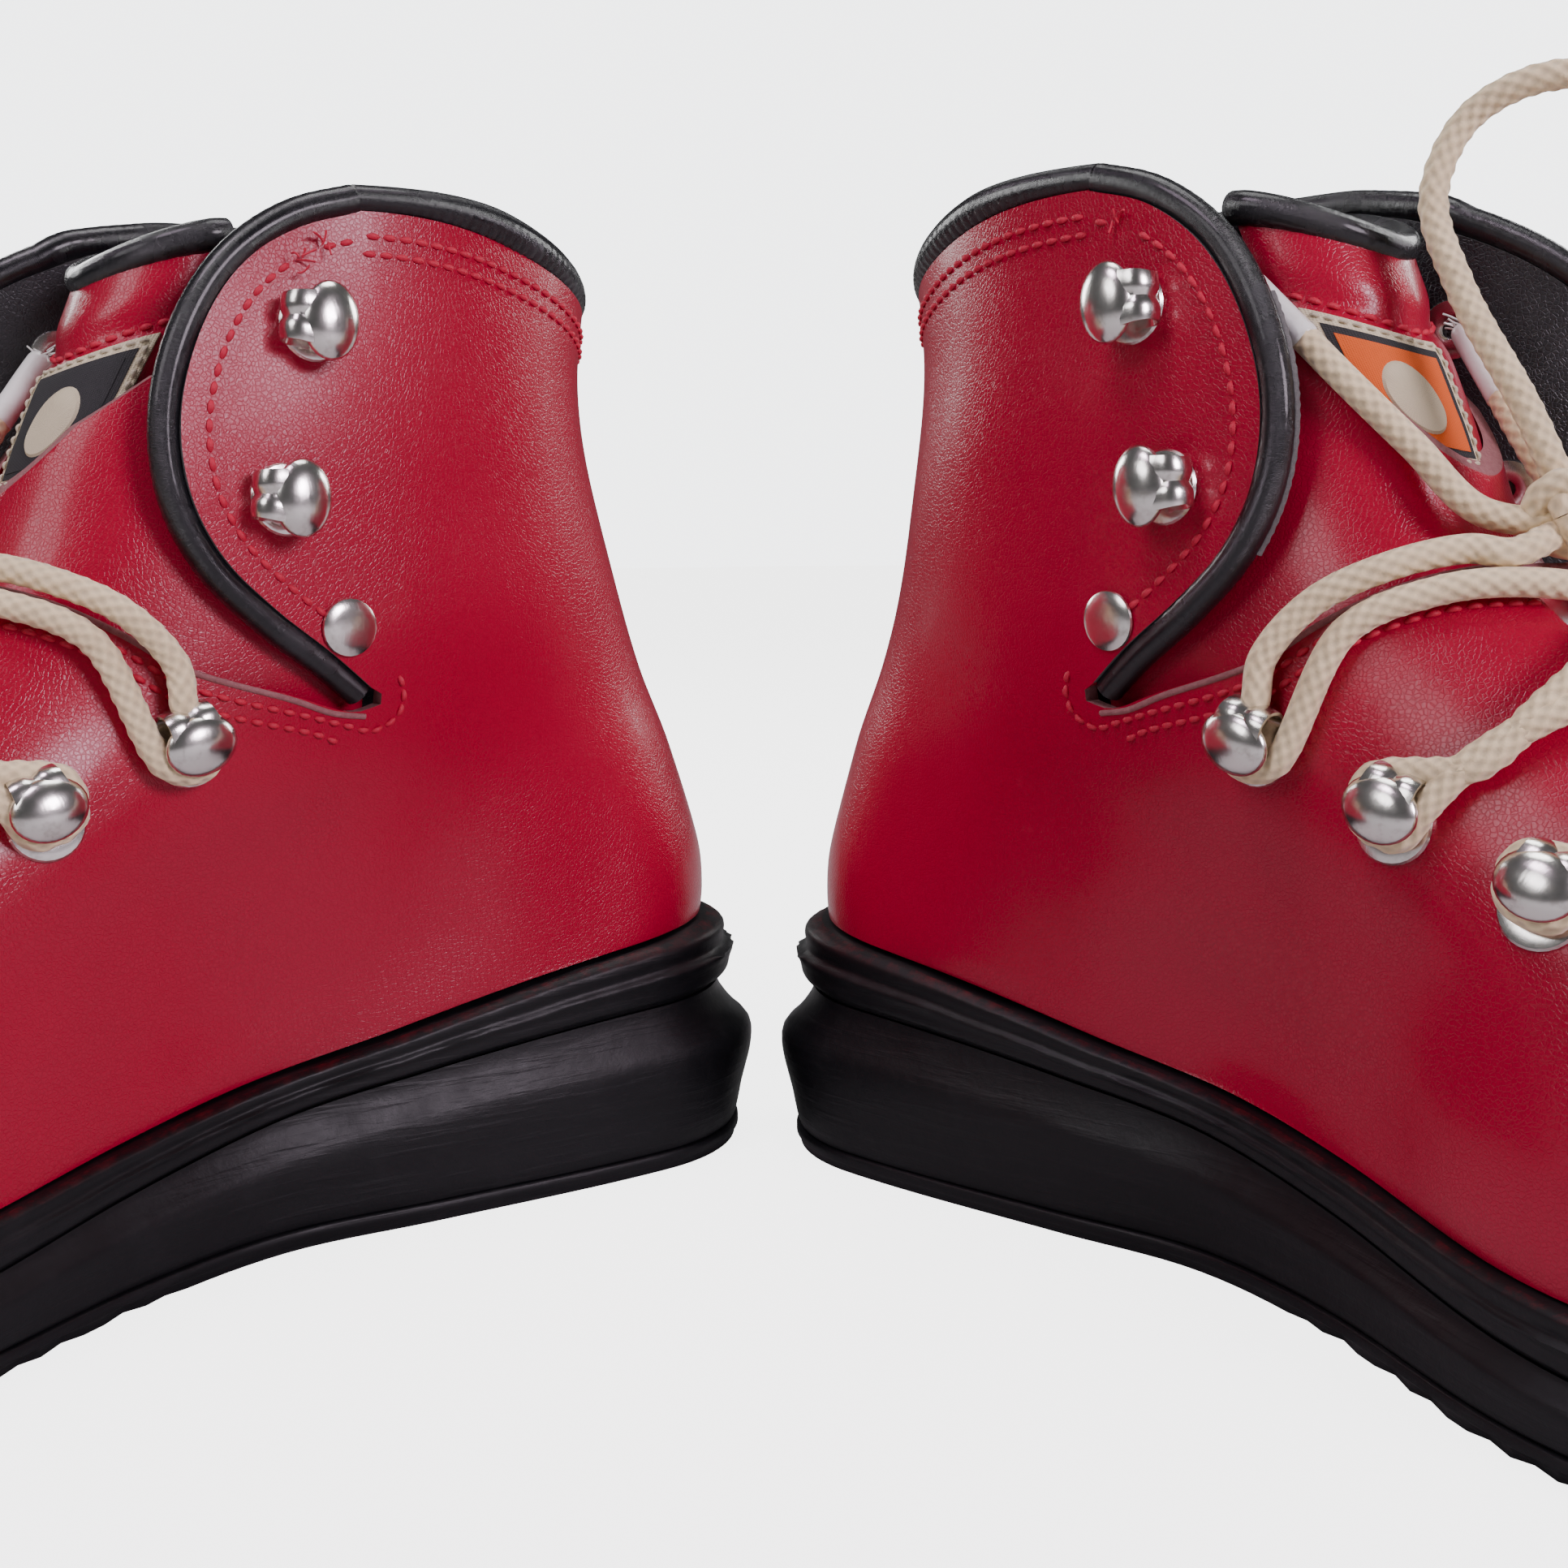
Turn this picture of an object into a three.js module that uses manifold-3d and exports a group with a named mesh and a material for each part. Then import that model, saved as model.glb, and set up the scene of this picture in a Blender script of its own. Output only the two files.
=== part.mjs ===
// A pair of vintage leather lace-up alpine ski boots, standing heel to heel with the toes turned out.
// Millimetres, +Z up. Each boot is drawn in its own frame: x runs forward from the back of the sole,
// y runs to the inner side of the foot, and z runs up from the ground.
// The right boot is turned into place, and the left boot is its mirror image.
import * as THREE from "three";
import { mergeVertices } from "three/addons/utils/BufferGeometryUtils.js";
import Module from "manifold-3d";

const wasm = await Module();
wasm.setup();

// ---- Driving dimensions ----
const soleLength = 270;
const toeOut = 43.15; // degrees between each boot and the line through both heels
const heelGap = 30.3; // between the backs of the two soles, measured at their centre lines
const pairDepth = 92.92; // how far the heels stand behind the middle of the pair
const leather = 3; // thickness of the upper
const liningThick = 1.5;
const flapThick = 4.4; // leather and lining together
const gap = 0.3; // kept between pieces that touch
const outsoleThick = 3.7;
const laceRadius = 2.2;
const pipingRadius = 2.4;
const collarRadius = 3.2;
const throatHalf = 13; // half the opening between the lace edges
const throatEnd = 222; // how far forward the opening runs
const hingeX = { inner: 90, outer: 106 }; // where each cuff flap starts to bend
const hookHeight = 9;

// ---- Curves through a few points ----
// A smooth curve value(t) through [t, value] pairs, with flat ends.
function through(pairs) {
  const last = pairs.length - 1;
  const slope = (i) => {
    if (i === 0 || i === last) return 0;
    const [a, b] = [pairs[i - 1], pairs[i + 1]];
    return (b[1] - a[1]) / (b[0] - a[0]);
  };
  return (t) => {
    if (t <= pairs[0][0]) return pairs[0][1];
    if (t >= pairs[last][0]) return pairs[last][1];
    const i = pairs.findIndex((p) => p[0] > t) - 1;
    const [t0, v0] = pairs[i];
    const [t1, v1] = pairs[i + 1];
    const w = t1 - t0;
    const k = (t - t0) / w;
    const h = k * k * (3 - 2 * k);
    const m0 = slope(i) * w * k * (1 - k) * (1 - k);
    const m1 = slope(i + 1) * w * k * k * (k - 1);
    return v0 + (v1 - v0) * h + m0 + m1;
  };
}
const lerp = (a, b, t) => a + (b - a) * t;

// ---- The sole's outline ----
const soleWidth = {
  inner: through([[0, 33], [40, 32], [80, 26.9], [108, 23], [136, 29], [172, 44], [197, 47], [270, 43]]),
  outer: through([[0, 33], [60, 35], [100, 36], [140, 40], [180, 46], [215, 48], [270, 44]]),
};
const heelRound = 33;
const toeRound = 46;
// Half the width at share s of the length, drawn in by inset, on the side given.
function footWidth(s, side, inset) {
  const x = s * soleLength;
  let round = 1;
  if (x < heelRound) round = Math.sqrt(Math.max(0, 1 - (1 - x / heelRound) ** 2.2));
  const toe = (x - (soleLength - toeRound)) / toeRound;
  if (toe > 0) round = Math.sqrt(Math.max(0, 1 - toe ** 2.4));
  return (soleWidth[side](x) - inset) * round;
}

// ---- Heights along the foot ----
const featherHeight = through([[0, 47], [45, 43], [107, 31], [165, 23.5], [225, 21.5], [270, 21.5]]);
const wedgeHeight = through([[0, 33], [43, 32], [87, 27], [128, 20], [164, 15], [200, 12.5], [270, 12]]);

// ---- The boot's outer surface: eight level loops from the sole's edge to the rim ----
// Each loop: back x and z, front x and z, half width of its oval, how oval it is, how far it keeps
// the dip of the sole's edge, and how high its middle rises.
const loops = [
  [8, 47.6, 262, 22, 30, 0, 1, 0],
  [7.5, 61, 262, 38, 31, 0.05, 0.8, 0],
  [13, 82, 250, 56, 31, 0.4, 0.5, 0],
  [20, 99, 215, 76, 32, 0.8, 0.2, 0],
  [25.5, 116, 180, 98, 33, 1, 0, 0],
  [31, 138, 155, 121, 33, 1, 0, 2],
  [33, 153, 144, 145, 32.5, 1, 0, 6],
  [32.5, 164, 133, 168, 32, 1, 0, 12],
];
const loopTop = loops.length - 1;
const loopValue = loops[0].map((_, k) => {
  const pairs = loops.map((row, i) => [i, row[k]]);
  const inside = through(pairs);
  return (u) => inside(u);
});

function loopPlace(u, s) {
  const [xb, zb, xf, zf, wide, oval, dip, rise] = loopValue.map((f) => f(u));
  const sag = featherHeight(s * soleLength) - lerp(47, 21.5, s);
  const hump = rise * Math.sin(Math.PI * Math.min(1, Math.max(0, s))) ** 0.8;
  return { x: lerp(xb, xf, s), z: lerp(zb, zf, s) + sag * dip + hump, wide, oval };
}
function loopWidth(u, s, side) {
  const { wide, oval } = loopPlace(u, s);
  const foot = footWidth(s, side, 5);
  const round = wide * Math.sqrt(Math.max(0, 1 - Math.abs(2 * s - 1) ** 2.3));
  return lerp(foot, round, oval);
}
// A point of the outer surface. The angle runs round the loop: 0 at the back, 90 degrees on the inner
// side, 180 at the front, and on round the outer side.
function skin(u, angle) {
  const s = (1 - Math.cos(angle)) / 2;
  const side = Math.sin(angle) >= 0 ? "inner" : "outer";
  const { x, z } = loopPlace(u, s);
  const y = loopWidth(u, s, side) * Math.sign(Math.sin(angle));
  return new THREE.Vector3(x, Math.abs(Math.sin(angle)) < 1e-9 ? 0 : y, z);
}
function skinNormal(u, angle) {
  const e = 0.03;
  const lowU = Math.max(0, u - e);
  const highU = Math.min(loopTop, u + e);
  const up = skin(highU, angle).sub(skin(lowU, angle));
  const round = skin(u, angle + e).sub(skin(u, angle - e));
  return up.cross(round).normalize();
}
// The same point moved depth millimetres inwards.
function under(u, angle, depth) {
  return skin(u, angle).addScaledVector(skinNormal(u, angle), -depth);
}
// The loop number and angle of the outer surface at a place seen from the side.
function findOnSkin(x, z, side) {
  let low = 0;
  let high = loopTop;
  let s = 0;
  for (let i = 0; i < 40; i++) {
    const u = (low + high) / 2;
    const at = loopPlace(u, 0);
    const front = loopPlace(u, 1);
    s = Math.min(1, Math.max(0, (x - at.x) / (front.x - at.x)));
    if (loopPlace(u, s).z < z) low = u;
    else high = u;
  }
  const angle = Math.acos(1 - 2 * s);
  return { u: (low + high) / 2, angle: side === "inner" ? angle : 2 * Math.PI - angle };
}
// The same for a place on the vamp seen from above.
function findFromAbove(x, y) {
  const side = y >= 0 ? "inner" : "outer";
  const shareOf = (u) => {
    const [back, front] = [loopPlace(u, 0).x, loopPlace(u, 1).x];
    return (x - back) / (front - back);
  };
  let low = 1;
  let high = loopTop;
  for (let i = 0; i < 40; i++) {
    const u = (low + high) / 2;
    const s = shareOf(u);
    if (s < 1 && loopWidth(u, s, side) > Math.abs(y)) low = u;
    else high = u;
  }
  const angle = Math.acos(1 - 2 * Math.min(1, shareOf(low)));
  return { u: low, angle: side === "inner" ? angle : 2 * Math.PI - angle };
}

// ---- Solids ----
function geometryOf(points, triangles) {
  const g = new THREE.BufferGeometry();
  g.setAttribute("position", new THREE.Float32BufferAttribute(points.flatMap((p) => p.toArray()), 3));
  g.setIndex(triangles);
  return g;
}
function solidOf(geometry) {
  const bare = geometry.clone();
  bare.deleteAttribute("normal");
  bare.deleteAttribute("uv");
  const merged = mergeVertices(bare, 1e-4);
  const made = new wasm.Manifold(
    new wasm.Mesh({
      numProp: 3,
      vertProperties: new Float32Array(merged.attributes.position.array),
      triVerts: new Uint32Array(merged.index.array),
    }),
  );
  return made;
}
function backToGeometry(solid) {
  const mesh = solid.getMesh();
  const g = new THREE.BufferGeometry();
  g.setAttribute("position", new THREE.BufferAttribute(new Float32Array(mesh.vertProperties), 3));
  g.setIndex(new THREE.BufferAttribute(new Uint32Array(mesh.triVerts), 1));
  return g;
}

// A solid from closed rows of points, one above the next, with a ladder across the first and the last.
function stack(rows) {
  const n = rows[0].length;
  const points = rows.flat();
  const triangles = [];
  const quad = (a, b, c, d) => triangles.push(a, b, c, a, c, d);
  for (let r = 0; r + 1 < rows.length; r++)
    for (let i = 0; i < n; i++) {
      const j = (i + 1) % n;
      quad(r * n + j, r * n + i, (r + 1) * n + i, (r + 1) * n + j);
    }
  const top = (rows.length - 1) * n;
  for (let i = 0; i < n / 2; i++) {
    const [a, b, c, d] = [i, i + 1, n - i - 1, (n - i) % n];
    if (a !== d) {
      triangles.push(a, b, d);
      triangles.push(top + a, top + d, top + b);
    }
    if (b !== c) {
      triangles.push(b, c, d);
      triangles.push(top + b, top + d, top + c);
    }
  }
  return geometryOf(points, triangles);
}

// A shell round the boot between two depths under the outer surface, from the first level to the last.
// Its rim may stand higher than the surface's own by rimLift.
function shell(outerDepth, innerDepth, levels, rimLift = 0) {
  const rows = [];
  const n = 24;
  const row = (u, depth) =>
    Array.from({ length: n }, (_, i) => {
      const p = under(u, (i / n) * 2 * Math.PI, depth);
      if (u === loopTop) p.z += rimLift;
      return p;
    });
  levels.forEach((u) => rows.push(row(u, outerDepth)));
  [...levels].reverse().forEach((u) => rows.push(row(u, innerDepth)));
  const triangles = [];
  rows.forEach((_, r) => {
    const next = (r + 1) % rows.length;
    for (let i = 0; i < n; i++) {
      const j = (i + 1) % n;
      const [a, b, c, d] = [r * n + j, r * n + i, next * n + i, next * n + j];
      // Both faces are split along the same diagonal, so nested shells stay parallel.
      if (r < levels.length) triangles.push(a, b, c, a, c, d);
      else triangles.push(a, b, d, b, c, d);
    }
  });
  return solidOf(geometryOf(rows.flat(), triangles));
}

// A prism whose outline is given in x and z, standing across the boot from y0 to y1.
function acrossBoot(outline, y0, y1) {
  const shape = new THREE.Shape(outline.map(([x, z]) => new THREE.Vector2(x, z)));
  const g = new THREE.ExtrudeGeometry(shape, { depth: y1 - y0, bevelEnabled: false });
  g.rotateX(Math.PI / 2);
  g.translate(0, y1, 0);
  return solidOf(g);
}

// A path whose steps are shared out evenly between its points, so tight turns keep their shape.
class EvenPath extends THREE.CatmullRomCurve3 {
  getUtoTmapping(u) {
    return u;
  }
}
function tube(points, radius, sides, stepsEach = 1) {
  const shape = new THREE.Shape();
  for (let i = 0; i < sides; i++) {
    const a = (i / sides) * 2 * Math.PI;
    if (i === 0) shape.moveTo(radius, 0);
    else shape.lineTo(radius * Math.cos(a), radius * Math.sin(a));
  }
  return new THREE.ExtrudeGeometry(shape, {
    steps: (points.length - 1) * stepsEach,
    extrudePath: new EvenPath(points, false, "centripetal"),
  });
}

// ---- Materials ----
const finish = {
  leather: new THREE.MeshStandardMaterial({ color: 0xb4102e, roughness: 0.42, metalness: 0 }),
  black: new THREE.MeshStandardMaterial({ color: 0x15161a, roughness: 0.4, metalness: 0 }),
  rubber: new THREE.MeshStandardMaterial({ color: 0x0c0d10, roughness: 0.5, metalness: 0 }),
  metal: new THREE.MeshStandardMaterial({ color: 0xc8c6bf, roughness: 0.3, metalness: 1 }),
  lace: new THREE.MeshStandardMaterial({ color: 0xe4dccb, roughness: 0.9, metalness: 0 }),
  plastic: new THREE.MeshStandardMaterial({ color: 0xf0efea, roughness: 0.35, metalness: 0 }),
  board: new THREE.MeshStandardMaterial({ color: 0x8a7560, roughness: 0.85, metalness: 0 }),
};

// ---- Sole ----
// One closed row round the sole. The back can be pushed out or drawn in by rear millimetres.
function soleRow(inset, rear, height, around = 36) {
  return Array.from({ length: around }, (_, i) => {
    const angle = (i / around) * 2 * Math.PI;
    const s = (1 - Math.cos(angle)) / 2;
    const side = Math.sin(angle) >= 0 ? "inner" : "outer";
    const push = rear * Math.exp(-(((s * soleLength) / 34) ** 2));
    const x = lerp(inset - push, soleLength - inset, s);
    const y = (footWidth(s, side, inset) + push * 0.5) * Math.sign(Math.sin(angle));
    const flat = Math.abs(Math.sin(angle)) < 1e-9;
    return new THREE.Vector3(x, flat ? 0 : y, height(s * soleLength));
  });
}
const outsole = () => stack([soleRow(1.2, 0, () => 0), soleRow(0.4, 0, () => outsoleThick)]);
function wedge() {
  const base = outsoleThick + gap;
  const at = (t) => (x) => lerp(base, wedgeHeight(x), t);
  return stack([
    soleRow(0.8, 0, at(0)),
    soleRow(0.2, 1.2, at(0.35)),
    soleRow(0.2, 2.2, at(0.62)),
    soleRow(1.2, 0.5, at(0.86)),
    soleRow(2.6, -1.5, at(1)),
  ]);
}
function welt() {
  const at = (t) => (x) => lerp(wedgeHeight(x) + gap, featherHeight(x), t);
  return stack([
    soleRow(3, -2.2, at(0)),
    soleRow(1.4, -1.6, at(0.35)),
    soleRow(1.2, -2, at(0.75)),
    soleRow(2.6, -3, at(1)),
  ]);
}
function insole() {
  const inside = leather + liningThick + 2 * gap + 8;
  const at = (h) => (x) => featherHeight(x) + h;
  return stack([soleRow(inside, -2, at(gap), 28), soleRow(inside, -2, at(3), 28)]);
}

// ---- Upper, lining, gusset and tongue ----
const vampEdge = [[124, 105], [133, 111], [142, 116], [150, 118.8], [158, 119.5], [200, 122]];
// What is cut away on one side: everything in front of the flap's bend and above the vamp's edge.
function frontCut(side, slack) {
  const h = hingeX[side] + gap / 2 - slack;
  const edge = vampEdge.filter(([x]) => x > h + 22).map(([x, z]) => [x, z - slack]);
  const outline = [[h, 96 - slack], [h + 5, 95 - slack], [h + 16, 99 - slack], ...edge, [200, 210], [h, 210]];
  return side === "inner" ? acrossBoot(outline, 0, 70) : acrossBoot(outline, -70, 0);
}
// The opening under the laces: a slot with a round front end, cut straight down.
function throatCut(slack) {
  const half = throatHalf + slack;
  const shape = new THREE.Shape();
  shape.moveTo(120, -half);
  shape.lineTo(throatEnd - half, -half);
  shape.absarc(throatEnd - half, 0, half, -Math.PI / 2, Math.PI / 2, false);
  shape.lineTo(120, half);
  const g = new THREE.ExtrudeGeometry(shape, { depth: 170, bevelEnabled: false, curveSegments: 5 });
  g.translate(0, 0, 50);
  return solidOf(g);
}
function cutFronts(solid, slack) {
  return solid
    .subtract(frontCut("inner", slack))
    .subtract(frontCut("outer", slack))
    .subtract(throatCut(slack));
}
const levels = [0, 1, 2, 2.5, 3, 3.5, 4, 5, 6, 7];
const upper = () => backToGeometry(cutFronts(shell(0, leather, levels), 0));

// The lining, with the collar roll that is folded over the rim behind the flaps.
function lining() {
  const outer = leather + gap;
  const body = cutFronts(shell(outer, outer + liningThick, levels, 2), 2);
  const from = findOnSkin(hingeX.inner - 3, 176, "inner").angle;
  const to = findOnSkin(hingeX.outer - 3, 176, "outer").angle - 2 * Math.PI;
  const bead = Array.from({ length: 15 }, (_, i) => {
    const p = under(loopTop, lerp(from, to, i / 14), 1.6);
    p.z += collarRadius + gap;
    return p;
  });
  return backToGeometry(body.add(solidOf(tube(bead, collarRadius, 7))));
}

function gusset() {
  const outline = [[106, 98], [106, 156], [122, 151], [133, 143], [142.5, 132.5], [148, 124.5], [151, 118]];
  outline.push([176, 103], [206, 84], [198, 66], [150, 84]);
  const depth = leather + liningThick + 2 * gap;
  const body = shell(depth, depth + 2, levels.slice(3));
  return backToGeometry(body.intersect(acrossBoot(outline, -70, 70)));
}

// The padded tongue: a curved pad behind the front of the boot, thickest near its rounded top.
function tongue() {
  const depth = leather + liningThick + 2 * gap + 2 + gap;
  const thick = through([[3, 3], [4.5, 6], [6.6, 9], [7, 7]]);
  const half = through([[3, 0.3], [4.2, 0.5], [5.2, 0.62], [6.4, 0.78], [7, 0.74]]);
  const rows = [3, 3.5, 4, 4.5, 5, 5.5, 6, 6.4, 6.8, 7].map((u) => {
    const n = 8;
    const lift = u > 6 ? 7 * (u - 6) : 0;
    const outer = [];
    const inner = [];
    for (let i = 0; i <= n; i++) {
      const k = (2 * i) / n - 1;
      const angle = Math.PI + k * half(u);
      const swell = Math.sqrt(Math.max(0, 1 - k ** 4));
      const mid = depth + thick(u) / 2;
      const a = under(u, angle, mid - (swell * thick(u)) / 2);
      const b = under(u, angle, mid + (swell * thick(u)) / 2);
      a.z += lift * (1 - k * k);
      b.z += lift * (1 - k * k);
      outer.push(a);
      if (i > 0 && i < n) inner.push(b);
    }
    return [...outer, ...inner.reverse()].reverse();
  });
  return fan(rows);
}
// A solid from closed rows, with a fan of triangles over each end.
function fan(rows) {
  const n = rows[0].length;
  const points = rows.flat();
  const triangles = [];
  for (let r = 0; r + 1 < rows.length; r++)
    for (let i = 0; i < n; i++) {
      const j = (i + 1) % n;
      triangles.push(r * n + i, r * n + j, (r + 1) * n + j, r * n + i, (r + 1) * n + j, (r + 1) * n + i);
    }
  for (const r of [0, rows.length - 1]) {
    const centre = points.length;
    const sum = new THREE.Vector3();
    rows[r].forEach((p) => sum.add(p));
    points.push(sum.divideScalar(n));
    for (let i = 0; i < n; i++) {
      const [a, b] = [r * n + i, r * n + ((i + 1) % n)];
      if (r === 0) triangles.push(centre, b, a);
      else triangles.push(centre, a, b);
    }
  }
  const made = geometryOf(points, triangles);
  return made;
}

// ---- Cuff flaps ----
// The edge of a flap's leather in x and z, from the rim at the bend, round the front, to the slit's end.
const flapEdge = [
  [91, 176.5], [101, 174], [111, 167], [118, 157], [122, 144], [121.5, 132], [117, 122], [109, 113.5], [99, 105.5],
  [93, 100.5],
];
const flapStretch = { inner: 1, outer: 1.3 }; // the outer flap is the wider one
const flare = { inner: -0.0012, outer: 0.012 }; // how fast each flap bends away from the leg
// The flap's outer face at a place seen from the side: tangent to the boot at its bend.
function flapFace(x, z, side) {
  const bend = hingeX[side];
  const at = (px) => {
    const f = findOnSkin(px, z, side);
    return Math.abs(skin(f.u, f.angle).y);
  };
  const y0 = at(bend);
  const slope = y0 - at(bend - 1);
  const out = y0 + slope * (x - bend) + flare[side] * (x - bend) ** 2;
  return side === "inner" ? out : -out;
}
function flapOutline(side) {
  const wide = (x) => hingeX[side] + (x - hingeX.inner) * flapStretch[side];
  const points = flapEdge.map(([x, z]) => new THREE.Vector2(wide(x), z));
  return new THREE.SplineCurve(points).getPoints(16);
}
function flap(side) {
  const inward = side === "inner" ? -1 : 1;
  const bend = hingeX[side];
  const [nx, nz] = [6, 6];
  const rows = [];
  for (let j = 0; j <= nz; j++) {
    const z = lerp(92, 180, j / nz);
    const at = (i) => lerp(bend + gap / 2, bend + 52, i / nx);
    const row = [];
    for (let i = 0; i <= nx; i++) row.push(new THREE.Vector3(at(i), flapFace(at(i), z, side), z));
    for (let i = nx; i >= 0; i--)
      row.push(new THREE.Vector3(at(i), flapFace(at(i), z, side) + inward * flapThick, z));
    rows.push(side === "inner" ? row.reverse() : row);
  }
  const sheet = solidOf(fanStrip(rows));
  const outline = flapOutline(side).map((p) => [p.x, p.y]);
  const back = bend - 5;
  const cut = acrossBoot([[back, outline.at(-1)[1]], [back, outline[0][1]], ...outline], -90, 90);
  return backToGeometry(sheet.intersect(cut));
}
// A solid from closed rows of a thin sheet, its ends closed by a ladder between its two faces.
function fanStrip(rows) {
  const n = rows[0].length;
  const points = rows.flat();
  const triangles = [];
  for (let r = 0; r + 1 < rows.length; r++)
    for (let i = 0; i < n; i++) {
      const j = (i + 1) % n;
      triangles.push(r * n + i, r * n + j, (r + 1) * n + j, r * n + i, (r + 1) * n + j, (r + 1) * n + i);
    }
  const top = (rows.length - 1) * n;
  for (let i = 0; i + 1 < n / 2; i++) {
    const [a, b, c, d] = [i, i + 1, n - 2 - i, n - 1 - i];
    triangles.push(a, d, c, a, c, b);
    triangles.push(top + a, top + b, top + c, top + a, top + c, top + d);
  }
  return geometryOf(points, triangles);
}
function piping(side) {
  const inward = side === "inner" ? -1 : 1;
  const edge = flapOutline(side);
  const away = pipingRadius + gap;
  const points = edge.map((p, i) => {
    const before = edge[Math.max(0, i - 1)];
    const after = edge[Math.min(edge.length - 1, i + 1)];
    const along = after.clone().sub(before).normalize();
    const x = p.x - along.y * away;
    const z = p.y + along.x * away;
    return new THREE.Vector3(x, flapFace(x, z, side) + (inward * flapThick) / 2, z);
  });
  return tube(points, pipingRadius, 7);
}

// ---- Hooks and rivets ----
// Each is turned about its own axis, which stands up from the leather.
const hookProfile = [
  [0, 0.5], [5, 0.5], [1.5, 1.2], [1.5, 6.4], [5.8, 6.4], [4.4, hookHeight - 0.8], [0, hookHeight],
];
const rivetProfile = [[0, 0.5], [4.8, 0.5], [4.2, 1.4], [2.4, 2.1], [0, 2.2]];
const turned = (profile, sides) =>
  new THREE.LatheGeometry(profile.map(([r, h]) => new THREE.Vector2(r, h)), sides);
function standOn(mesh, at, normal) {
  mesh.position.copy(at);
  mesh.quaternion.setFromUnitVectors(new THREE.Vector3(0, 1, 0), normal);
}
const lowerHooks = [[124.5, 93], [147.5, 84], [169.5, 75], [191, 66]];
const cuffHooks = { inner: [[99.5, 159], [106.3, 131]], outer: [[121, 158], [128, 131]] };
const rivetPlace = { inner: [96.4, 110], outer: [113.5, 111] };

function onFlap([x, z], side) {
  const e = 1;
  const at = new THREE.Vector3(x, flapFace(x, z, side), z);
  const dx = flapFace(x + e, z, side) - flapFace(x - e, z, side);
  const dz = flapFace(x, z + e, side) - flapFace(x, z - e, side);
  const out = side === "inner" ? 1 : -1;
  return { at, normal: new THREE.Vector3(-dx / (2 * e), 1, -dz / (2 * e)).normalize().multiplyScalar(out) };
}
function onUpper([x, z], side) {
  const f = findOnSkin(x, z, side);
  return { at: skin(f.u, f.angle), normal: skinNormal(f.u, f.angle), ...f };
}

// ---- Laces ----
const knot = new THREE.Vector3(159, 7, 126);
const knotSize = new THREE.Vector3(6, 7, 5.5);
const aglet = { length: 14, radius: 2 };
const laceLift = laceRadius + 1.6; // from the leather to the middle of a lace that lies on it
const overLift = laceLift + 2 * laceRadius + 0.6; // where it crosses over another
const bowLift = overLift + 2 * laceRadius + 2.8; // the bow lies on top of both

// A place over the vamp: x, y and the height above the leather.
function above([x, y, lift]) {
  const f = findFromAbove(x, y);
  return under(f.u, f.angle, -lift);
}
// The same for a place seen from the side: x, z and the height.
function beside([x, z, lift], side) {
  const on = onUpper([x, z], side);
  return on.at.addScaledVector(on.normal, lift);
}
const crossingX = [165, 180, 196, 205]; // where each pair of strands crosses the middle
// The first strand on each side, along the vamp's edge from the knot to the top hook.
const firstStrand = {
  inner: [[148, 119.5], [140, 117.5], [132, 113], [126, 105]],
  outer: [[149, 118], [142, 111.5], [135, 105], [129, 100]],
};
// The lace crosses from hook to hook over the front of the boot, and turns round each hook's neck.
function lacing() {
  const points = [];
  const neck = 1.5;
  const turnRadius = neck + laceRadius + 0.8;
  const wrap = (h, cameFrom, goesTo) => {
    const towards = (other) => {
      const d = other.clone().sub(h.at);
      return d.addScaledVector(h.normal, -d.dot(h.normal)).normalize();
    };
    const pull = towards(cameFrom).add(towards(goesTo)).normalize();
    const across = new THREE.Vector3().crossVectors(h.normal, pull);
    if (across.dot(towards(cameFrom)) < across.dot(towards(goesTo))) across.negate();
    const high = h.at.clone().addScaledVector(h.normal, 1.2 + gap + laceRadius);
    for (const [a, p] of [[1, 0.7], [0.72, -0.72], [0, -1], [-0.72, -0.72], [-1, 0.7]]) {
      const q = high.clone().addScaledVector(across, a * turnRadius);
      points.push(q.addScaledVector(pull, p * turnRadius));
    }
  };
  const cross = (a, b, lift, middle) => {
    for (const t of [0.05, 0.14, 0.26, 0.5, 0.74, 0.86, 0.95]) {
      const more = (lift - laceLift) * Math.sin(Math.PI * t) ** 2;
      const straight = lerp(a.at.x, b.at.x, t);
      const x = straight + (middle - (a.at.x + b.at.x) / 2) * Math.sin(Math.PI * t) ** 0.5;
      points.push(above([x, lerp(a.at.y, b.at.y, t), laceLift + more]));
    }
  };
  const fromKnot = (side) => firstStrand[side].map(([x, z]) => beside([x, z, laceLift], side));
  const run = [];
  for (let row = 0; row < 4; row++) run.push(onUpper(lowerHooks[row], row % 2 ? "outer" : "inner"));
  for (let row = 3; row >= 0; row--) run.push(onUpper(lowerHooks[row], row % 2 ? "inner" : "outer"));
  const belowKnot = new THREE.Vector3(0, 0, -4.5);
  const besideKnot = (h) => {
    const d = h.at.clone().sub(knot);
    d.z = 0;
    return knot.clone().addScaledVector(d.normalize(), knotSize.y + laceRadius + 1).add(belowKnot);
  };
  points.push(besideKnot(run[0]), above([152, 15.5, laceLift + 1.2]), ...fromKnot("inner"));
  run.forEach((h, i) => {
    const before = i === 0 ? points.at(-1) : run[i - 1].at;
    const after = i === run.length - 1 ? fromKnot("outer").at(-1) : run[i + 1].at;
    wrap(h, before, after);
    if (i === run.length - 1) return;
    const row = Math.min(i, 6 - i);
    cross(h, run[i + 1], i < 4 ? laceLift : overLift, crossingX[row]);
  });
  points.push(...fromKnot("outer").reverse(), above([152, -15.5, laceLift + 1.2]), besideKnot(run.at(-1)));
  return tube(points, laceRadius, 6);
}

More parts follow.
